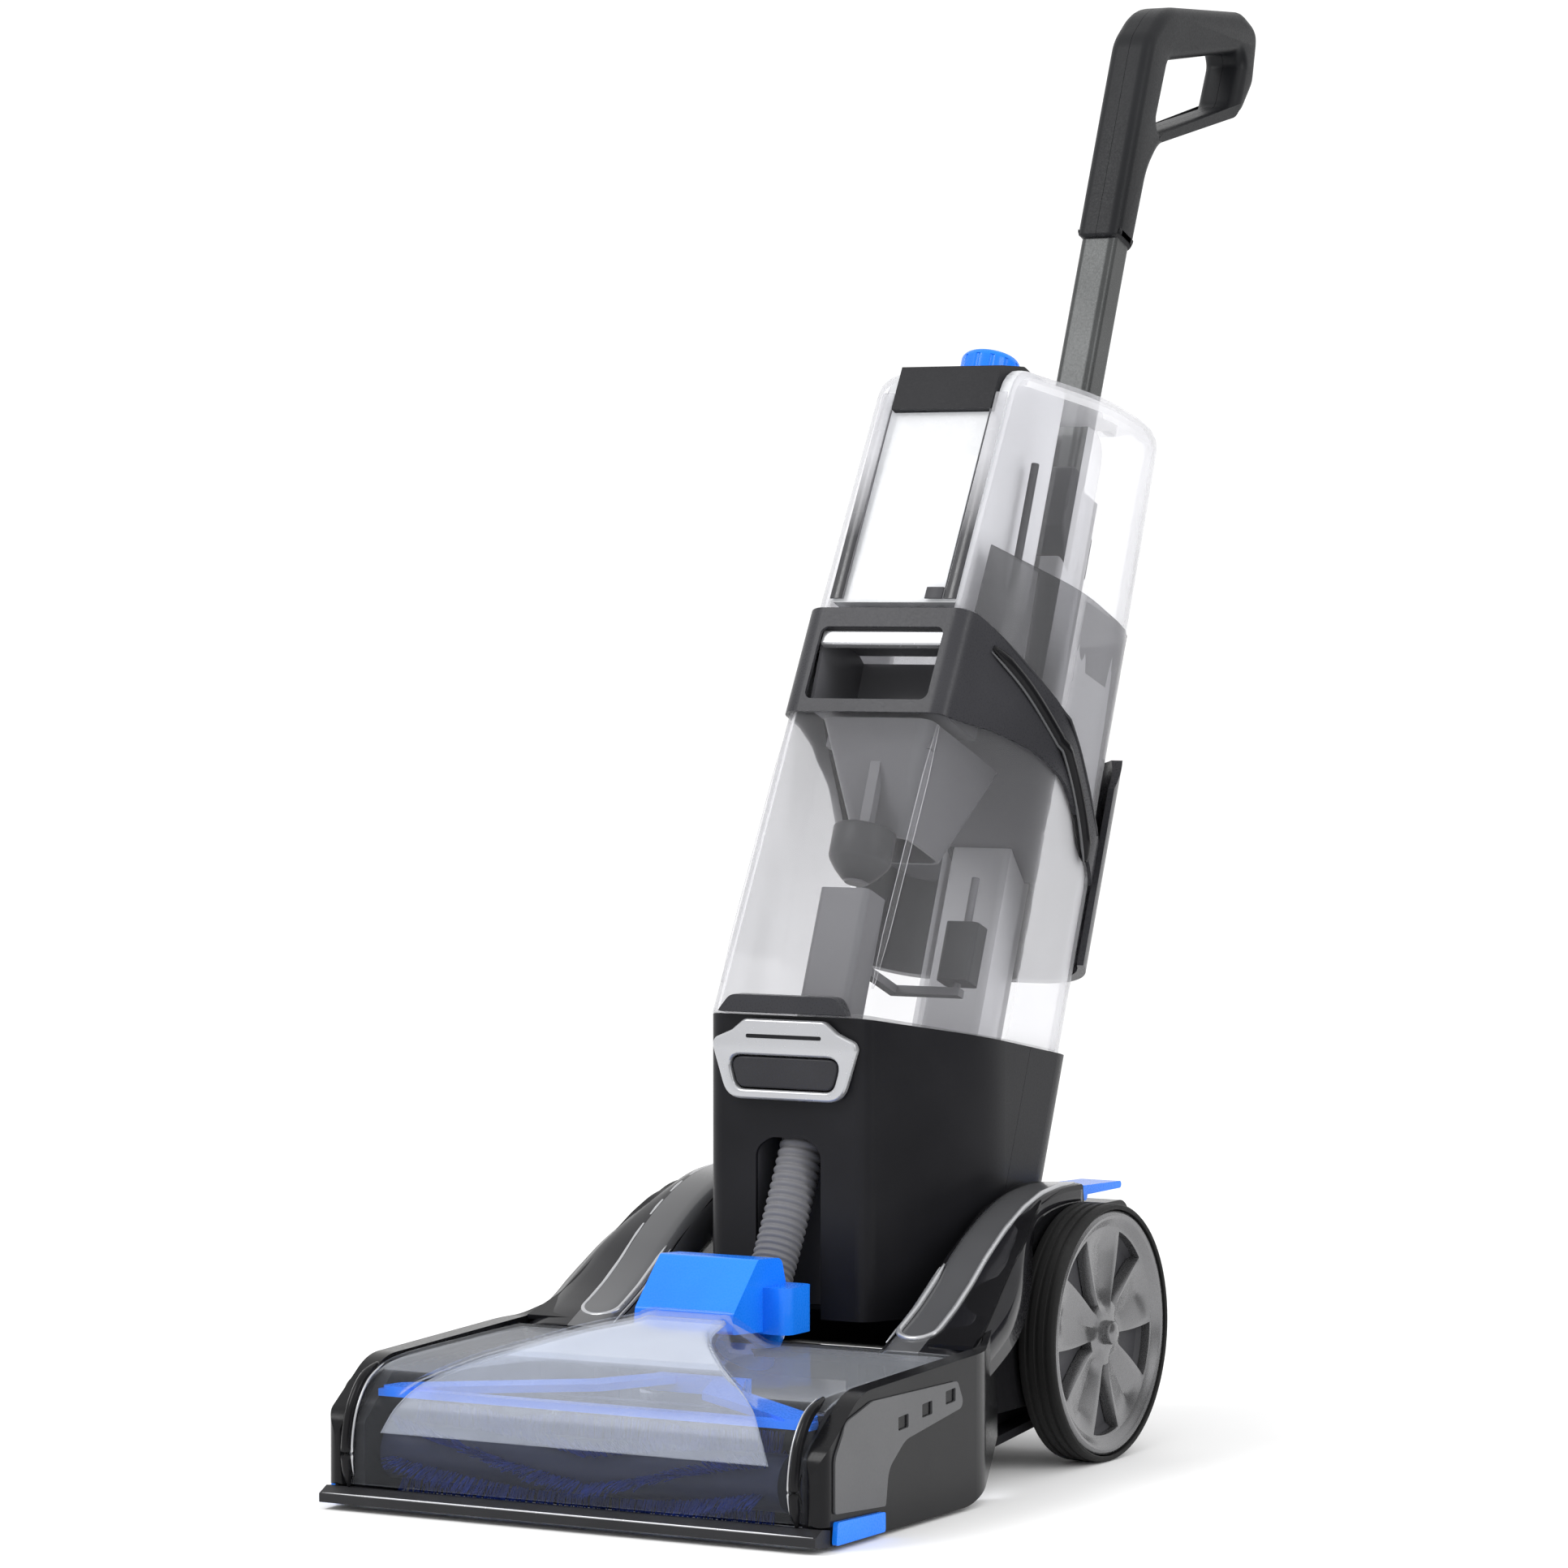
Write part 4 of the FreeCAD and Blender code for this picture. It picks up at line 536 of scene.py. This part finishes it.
def pillow(name, outlines, half_depth, bevel, place, look, body, replaces=(), keep=None):
    """Flat moulding with rounded rims: the first outline is its edge, the rest are holes."""
    curve = bpy.data.curves.new(name + "_outline", "CURVE")
    curve.dimensions = "2D"
    curve.fill_mode = "BOTH"
    curve.extrude = half_depth - bevel
    curve.bevel_depth = bevel
    curve.bevel_resolution = 5
    curve.offset = -bevel
    for outline in outlines:
        spline = curve.splines.new("POLY")
        spline.points.add(len(outline) - 1)
        for point, (u, v) in zip(spline.points, outline):
            point.co = (u, v, 0, 1)
        spline.use_cyclic_u = True
    holder = bpy.data.objects.new(name + "_outline", curve)
    bpy.context.scene.collection.objects.link(holder)
    graph = bpy.context.evaluated_depsgraph_get()
    mesh = bpy.data.meshes.new_from_object(holder.evaluated_get(graph))
    verts = [tuple(v.co) for v in mesh.vertices]
    faces = [tuple(p.vertices) for p in mesh.polygons]
    bpy.data.objects.remove(holder)
    bpy.data.curves.remove(curve)
    bpy.data.meshes.remove(mesh)
    if keep:
        verts, faces = half_of(verts, faces, keep)
    verts = [place(*v) for v in verts]
    return new_piece(name, verts, faces, look, body, replaces, crease=40)


def half_of(verts, faces, keep):
    """The part of a mesh on one side of its middle plane, closed with a flat face."""
    bm = bmesh.new()
    made = [bm.verts.new(v) for v in verts]
    for face in faces:
        bm.faces.new([made[i] for i in face])
    bmesh.ops.remove_doubles(bm, verts=bm.verts, dist=1e-5)
    cut = bmesh.ops.bisect_plane(bm, geom=bm.verts[:] + bm.edges[:] + bm.faces[:], plane_co=(0, 0, 0.15 * keep),
                                 plane_no=(0, 0, keep), clear_inner=True)
    rim = [e for e in cut["geom_cut"] if isinstance(e, bmesh.types.BMEdge)]
    bmesh.ops.triangle_fill(bm, edges=rim, use_beauty=True)
    bm.verts.index_update()
    out = [tuple(v.co) for v in bm.verts], [tuple(v.index for v in f.verts) for f in bm.faces]
    bm.free()
    return out


# ------------------------------------------------------------ wheels
AXLE_Z, WHEEL_FACE, TYRE_R, RIM_R = 91.4, 178.0, 91.35, 86.2
SPOKES, SPOKE_TURN, FIRST_WINDOW = 5, 72, 128
WINDOW_STEPS, SPOKE_STEPS = 8, 10
WINDOW_LOW, WINDOW_HIGH = 23, 73
SPOKE_ROWS = [8, 11, 14, 17, 20, 23, 27, 32, 38, 44, 50, 56, 62, 67, 70, 73, 75, 77.5, 79.5, 81, 83, 84.8,
              RIM_R]


def wheel_point(side, x, r, angle):
    return base(side * x, WHEEL_Y + r * math.cos(angle), AXLE_Z + r * math.sin(angle))


def rim_depth(r, ridge):
    """How far the wheel's face lies behind its outermost plane."""
    dish = 1.2 + 5.2 * smoothstep(82.5, 74, r) - 2.0 * smoothstep(30, 10, r)
    valley = 4.2 * ridge * smoothstep(13, 26, r) * smoothstep(76, 60, r)
    return dish + valley + 1.2 * smoothstep(84, RIM_R, r)


def wheel_spokes(side, tag):
    """Wheel disc: five broad spokes, each of two flat facets that meet in a valley."""
    verts, faces = [], []
    lines = []
    for i in range(SPOKES):
        lines += [(i, True, k / WINDOW_STEPS) for k in range(WINDOW_STEPS)]
        lines += [(i, False, k / SPOKE_STEPS) for k in range(SPOKE_STEPS)]
    for r in SPOKE_ROWS:
        opened = min(1, max(0, (r - WINDOW_LOW) / (WINDOW_HIGH - WINDOW_LOW)))
        window = math.radians(lerp(10.5, 15.5, opened))
        for i, in_window, t in lines:
            centre = math.radians(FIRST_WINDOW - SPOKE_TURN * i)
            if in_window:
                angle, ridge = centre + window * (1 - 2 * t), 0.0
            else:
                angle = centre - window - (math.radians(SPOKE_TURN) - 2 * window) * t
                ridge = 1 - abs(2 * t - 1)
            verts.append(wheel_point(side, WHEEL_FACE - rim_depth(r, ridge), r, angle))
    count = len(lines)
    for row, (r0, r1) in enumerate(zip(SPOKE_ROWS, SPOKE_ROWS[1:])):
        for j, (_, in_window, _) in enumerate(lines):
            if in_window and r0 >= WINDOW_LOW and r1 <= WINDOW_HIGH:
                continue
            k = (j + 1) % count
            faces.append((row * count + j, row * count + k, (row + 1) * count + k, (row + 1) * count + j))
    obj = new_piece("wheel_disc_" + tag, verts, faces, rim_paint, "wheel_" + tag,
                    ["wheel_rim_" + tag],
                    crease=12)
    modifier(obj, "SOLIDIFY", thickness=0.009, offset=-1.0)
    bevel = modifier(obj, "BEVEL", width=0.0006, segments=2)
    bevel.limit_method = "ANGLE"


def lathe(name, side, profile, look, body, replaces=(), around=96, crease=30):
    """Ring turned about the wheel's axle from (x, r) points."""
    rings = [[wheel_point(side, x, r, 2 * math.pi * j / around) for j in range(around)] for x, r in profile]
    verts, faces = rings_mesh(rings + rings[:1], caps=False)
    return new_piece(name, verts, faces, look, body, replaces, crease=crease)


def wheel_extras(side, tag):
    tread = [(177.2, 87.2), (177.9, 88.4), (177.6, 90.0), (176.4, 91.0), (174.5, TYRE_R)]
    for x in (170.5, 163.5, 156.5):
        tread += [(x + 1.6, TYRE_R), (x + 1.0, 89.9), (x - 1.0, 89.9), (x - 1.6, TYRE_R)]
    tread += [(152.0, TYRE_R), (150.2, 90.8), (149.3, 89.4), (149.6, 87.2)]
    lathe("tyre_" + tag, side, tread, tyre_rubber, "wheel_" + tag, ["wheel_tyre_" + tag])
    back = [(163, 12), (162, 30), (162, 70), (168, 78), (168, RIM_R), (150, RIM_R), (150, 80), (158, 70),
            (158, 12)]
    lathe("wheel_back_" + tag, side, back, inner_dark, "wheel_" + tag)
    cap = [(172, 8.4), (177.5, 8.4), (179.2, 7.8), (180.3, 6.0), (180.8, 3.0), (180.9, 0.3), (172, 0.3)]
    lathe("hub_button_" + tag, side, cap, rim_paint, "wheel_" + tag, ["hub_cap_" + tag], around=48)


for side, tag in SIDES:
    wheel_spokes(side, tag)
    wheel_extras(side, tag)

# ------------------------------------------------------------ handle
GRIP = [(-11, 848), (-11.5, 960), (-11.5, 1016), (8, 1052), (134, 1110), (166, 1109), (173, 1064),
        (162, 1034), (36, 946),
        (24, 918), (22, 848)]
GRIP_RADII = [4, 200, 36, 120, 26, 18, 24, 18, 40, 60, 4]
GRIP_HOLE = [(26, 1014), (140, 1077), (147, 1070), (145, 1032), (30, 955), (24, 962)]
GRIP_HOLE_RADII = [14, 8, 7, 12, 14, 9]
for keep, tag in ((1, "right"), (-1, "left")):
    pillow("handle_grip_" + tag, [rounded(GRIP, GRIP_RADII, 8),
                                  rounded(GRIP_HOLE, GRIP_HOLE_RADII, 8)[::-1]], 18.0, 8.5,
           lambda u, v, w: lean(w, u, v), soft_black, "upright", ["handle_loop_" + tag], keep)

# ------------------------------------------------------------ latch
LATCH_EDGE = [(-46, 260.5), (46, 260.5), (58, 298), (56, 303), (42, 309), (32, 317), (-32, 317),
              (-42, 309), (-56, 303), (-58, 298)]
LATCH_EYE = [(-39, 267.5), (39, 267.5), (46, 291.5), (-46, 291.5)]


def on_front(depth):
    """Places a moulding upright in front of the housing, its middle depth in front of the skin."""
    return lambda u, v, w: base(u, -134.0 - depth + w, v)


pillow("latch_frame", [rounded(LATCH_EDGE, [16, 16, 6, 6, 8, 8, 8, 8, 6, 6]),
                       rounded(LATCH_EYE, [9, 9, 9, 9])[::-1]], 3.4, 2.2,
       on_front(3.6), silver_and_highlight, "upright", ["latch_bezel"])
pillow("latch_pad", [rounded([(-38, 268.5), (38, 268.5), (44.5, 290.5), (-44.5, 290.5)], [8, 8, 8, 8])],
       5.0, 1.6,
       on_front(0.2), frame_grey, "latch_button", ["latch_button"])
pillow("latch_groove", [rounded([(-30, 303.6), (30, 303.6), (30, 306.4), (-30, 306.4)], [1.3] * 4)], 0.5, 0.3,
       on_front(6.9), charcoal, "upright")

# ------------------------------------------------------------ tower skins
HALF, FRONT_HALF, FLARE_Y = 96.5, 62.0, -100.0
FRONT_AT_FOOT, FRONT_RAKE, FOOT_H = 248.0, 0.114, 144.0


def tower_front(h):
    """How far the tanks' front stands ahead of the pivot, at a height along the lean."""
    return FRONT_AT_FOOT - FRONT_RAKE * (h - FOOT_H)


def side_x(y, h, grow=0.0):
    """Half width of the tanks at a place on their side."""
    if y >= FLARE_Y:
        return HALF + grow
    t = (y + tower_front(h)) / (FLARE_Y + tower_front(h))
    ease = 1.6 * smoothstep(-150, -100, y) * smoothstep(-60, -100, y)
    return lerp(FRONT_HALF, HALF, max(0.0, t)) + grow - ease


def tank_tint(low, high, grow, back, corner, steps=24):
    """Tinted inner wall on the clean tank's flanks, between two height lines that depend on y."""
    corner_points = 7
    count = 6 * corner_points
    front_end, tube_span = 12, {27, 28}
    rings = []
    for s in range(steps + 1):
        ring = []
        for j in range(count):
            y, h = FLARE_Y, lerp(low(FLARE_Y), high(FLARE_Y), s / steps)
            for _ in range(4):
                front = -tower_front(h) - grow
                corners = [(-FRONT_HALF - grow, front), (FRONT_HALF + grow, front), (HALF + grow, FLARE_Y),
                           (HALF + grow, back), (-HALF - grow, back), (-HALF - grow, FLARE_Y)]
                x, y = rounded(corners, [14, 14, 160, corner, corner, 160], corner_points - 1)[j]
                h = lerp(low(y), high(y), s / steps)
            ring.append(lean(x, y, h))
        rings.append(ring)
    verts, faces = rings_mesh(rings, caps=False)
    places = [{v % count for v in face} for face in faces]
    flanks = [face for face, place in zip(faces, places) if min(place) > front_end and place != tube_span]
    obj = new_piece("clean_tank_tint", verts, flanks, tint_grey, "clean_tank", crease=50)
    modifier(obj, "SOLIDIFY", thickness=0.0008, offset=0.0)


def on_line(points):
    """Height along a line of (y, h) points."""
    def height(y):
        if y <= points[0][0]:
            return points[0][1]
        for (y0, h0), (y1, h1) in zip(points, points[1:]):
            if y <= y1:
                return lerp(h0, h1, (y - y0) / (y1 - y0))
        return points[-1][1]
    return height


SWOOSH = curve_points([(-260, 466), (-198, 462), (-151, 446), (-111, 430), (-79, 411), (-50, 386),
                       (-14, 352), (60, 310)], 5)
swoosh = on_line(SWOOSH)
tank_tint(lambda y: swoosh(y) + 4, lambda y: 520.0, grow=-3.4, back=14.0, corner=62)

# ------------------------------------------------------------ collar
GROOVE = curve_points([(-184, 444), (-150, 430), (-112, 408), (-81, 386), (-55, 360), (-36, 334)], 8)
for side, tag in SIDES:
    path = [lean(side * side_x(y, h, 2.6), y, h) for y, h in GROOVE]
    tube_along("collar_groove_" + tag, path, 0.0062, gloss_black, "dirty_tank", flat=0.9)
    # The thin lighter line along the groove's lower edge is a painted highlight.
    path = [lean(side * side_x(y, h, 4.2), y - 3.0, h - 4.5) for y, h in GROOVE]
    tube_along("collar_highlight_" + tag, path, 0.0011, painted_sheen_grey, "dirty_tank")
    rim = [(y, h - 1.5) for y, h in SWOOSH if -194 <= y <= -22]
    path = [lean(side * side_x(y, h, 3.0), y, h) for y, h in rim]
    tube_along("collar_rim_" + tag, path, 0.0012, frame_grey, "dirty_tank")

# ------------------------------------------------------------ nozzle ends, lip line and spine wedge
NOSE = curve_points([(-427, 16), (-431, 34), (-430, 52), (-424, 70), (-411, 86), (-392, 95)], 6)
for side, tag in SIDES:
    tube_along("nozzle_arch_" + tag, [base(side * 172.5, y, z) for y, z in NOSE], 0.0035, gloss_black,
               "base")
    # The thin silver line on each black end arch is a painted highlight.
    tube_along("nozzle_arch_highlight_" + tag, [base(side * 168.0, y + 0.5, z) for y, z in NOSE[3:]], 0.0009, silver_and_highlight,
               "base")
tube_along("lip_line", [base(lerp(-189, 189, i / 40), -435.2, 11.4) for i in range(41)], 0.0007, silver_and_highlight,
           "base")

pillow("spine_wedge", [rounded([(-26, 652), (-26, 604), (-9, 574), (-4, 574), (-4, 652)],
                               [6, 8, 4, 2, 4])], 25.6, 2.0,
       lambda u, v, w: lean(w, u, v), inner_dark, "upright")

# ------------------------------------------------------------ softened edges of the moulded nodes
for node_name, width in (("duct_connector", 0.0026), ("top_cap", 0.002), ("tank_catch", 0.0015),
                         ("nozzle_lip", 0.0008),
                         ("power_pedal", 0.0012), ("recline_pedal", 0.0012), ("release_tabs", 0.001),
                         ("tank_carry_bar", 0.0012)):
    edge = modifier(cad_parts[node_name], "BEVEL", width=width, segments=3)
    edge.limit_method = "ANGLE"
    edge.angle_limit = math.radians(35)
    edge.use_clamp_overlap = True

# ------------------------------------------------------------ container front and drip cup
def front_strip(name, x0, x1, low, high, proud, look):
    """Thin strip that follows the sloping front of the container."""
    rings = []
    for i in range(25):
        h = lerp(low, high, i / 24)
        y = -tower_front(h) - proud
        section = ((x0, 0.5), (x0 + 0.6, 0.0), (x1 - 0.6, 0.0), (x1, 0.5), (x1, 1.4), (x0, 1.4))
        rings.append([lean(x, y + d, h) for x, d in section])
    verts, faces = rings_mesh(rings)
    new_piece(name, verts, faces, look, "clean_tank", crease=40)


STRIP_FOOT = 471.0
front_strip("container_strip_right", 42.0, 51.5, STRIP_FOOT, 640.0, 0.6, strip_fade)
front_strip("container_strip_left", -51.5, -42.0, STRIP_FOOT, 640.0, 0.6, strip_fade)
front_strip("container_line_right", 40.6, 41.4, STRIP_FOOT, 626.0, 0.7, inner_grey)
front_strip("container_line_left", -41.4, -40.6, STRIP_FOOT, 626.0, 0.7, inner_grey)
front_strip("container_foot", 26.0, 40.0, STRIP_FOOT, 480.0, 0.8, inner_dark)


def drip_cup(cup_y=-186.9, around=40):
    profile = [(262.0, 7.0), (264.0, 10.5), (270.0, 16.5), (277.0, 21.6), (280.0, 22.8), (301.0, 22.9),
               (302.5, 22.0)]
    turns = [2 * math.pi * j / around for j in range(around)]
    rings = [[lean(r * math.cos(a), cup_y + r * math.sin(a), h) for a in turns] for h, r in profile]
    verts, faces = rings_mesh(rings, caps=False)
    cup = new_piece("drip_cup", verts, faces, float_black, "dirty_tank")
    modifier(cup, "SOLIDIFY", thickness=0.0006)


drip_cup()
RIB_X, RIB_LOW, RIB_HIGH, RIB_DEPTH = 60.5, 168, 372, 4.5
for side, tag in SIDES:
    heights = [lerp(RIB_LOW, RIB_HIGH, i / 20) for i in range(21)]
    rail = [lean(side * RIB_X, -tower_front(h) + RIB_DEPTH, h) for h in heights]
    tube_along("tank_corner_rib_" + tag, rail, 0.0026, clear_tank, "dirty_tank")

# ------------------------------------------------------------ camera, floor and light
CAMERA_AZIMUTH, CAMERA_ELEVATION = math.radians(29.57), math.radians(2.04)
back = Vector((math.sin(CAMERA_AZIMUTH) * math.cos(CAMERA_ELEVATION),
               -math.cos(CAMERA_AZIMUTH) * math.cos(CAMERA_ELEVATION), math.sin(CAMERA_ELEVATION)))
camera_data = bpy.data.cameras.new("camera")
camera_data.sensor_width = 36.0
camera_data.lens = 133.74
camera_data.clip_end = 100.0
camera = bpy.data.objects.new("camera", camera_data)
bpy.context.scene.collection.objects.link(camera)
camera.location = base(2001.8, -3667.9, 626.2)
camera.rotation_mode = "QUATERNION"
camera.rotation_quaternion = (-back).to_track_quat("-Z", "Y")
bpy.context.scene.camera = camera


def plane(name, corners, look):
    """One flat face through four corners, in metres."""
    mesh = bpy.data.meshes.new(name)
    mesh.from_pydata(corners, [], [(0, 1, 2, 3)])
    mesh.materials.append(look)
    obj = bpy.data.objects.new(name, mesh)
    bpy.context.scene.collection.objects.link(obj)
    return obj


FLOOR_REACH = 30
floor_white = finish_of("floor_white", (0.93, 0.93, 0.93), 0.7, vary=0.01, patch=1.0, grain=60.0, bump=0.0,
                        gloss=0.0)
floor = plane("floor", [(-FLOOR_REACH, -FLOOR_REACH, 0), (FLOOR_REACH, -FLOOR_REACH, 0),
                        (FLOOR_REACH, FLOOR_REACH, 0), (-FLOOR_REACH, FLOOR_REACH, 0)], floor_white)

# A dark card that only reflections see gives the right-hand gloss its contrast.
CARD_X, CARD_FRONT, CARD_BACK, CARD_TOP = 1.6, -2.4, 1.8, 1.3
card_black = finish_of("card_black", (0.02, 0.02, 0.02), 0.8, bump=0.0, gloss=0.0)
card = plane("reflection_card", [(CARD_X, CARD_FRONT, 0.0), (CARD_X, CARD_BACK, 0.0),
                                 (CARD_X, CARD_BACK, CARD_TOP),
                                 (CARD_X, CARD_FRONT, CARD_TOP)], card_black)
card.visible_camera = False
card.visible_diffuse = False
card.visible_shadow = False
card.visible_transmission = False

world = bpy.data.worlds.new("world")
bpy.context.scene.world = world
world.use_nodes = True
world.node_tree.nodes["Background"].inputs[0].default_value = (1, 1, 1, 1)
world.node_tree.nodes["Background"].inputs[1].default_value = 1.12
bpy.context.scene.view_settings.view_transform = "Standard"


def area_light(name, at, aim, size, power):
    data = bpy.data.lights.new(name, "AREA")
    data.shape = "RECTANGLE"
    data.size, data.size_y = size
    data.energy = power
    lamp = bpy.data.objects.new(name, data)
    bpy.context.scene.collection.objects.link(lamp)
    lamp.location = at
    lamp.rotation_mode = "QUATERNION"
    lamp.rotation_quaternion = (Vector(aim) - Vector(at)).to_track_quat("-Z", "Y")


area_light("key", (-1.6, -2.4, 3.0), (0, 0, 0.4), (1.6, 1.6), 60)
area_light("side", (3.0, -0.6, 1.6), (0, 0, 0.5), (0.8, 2.2), 30)
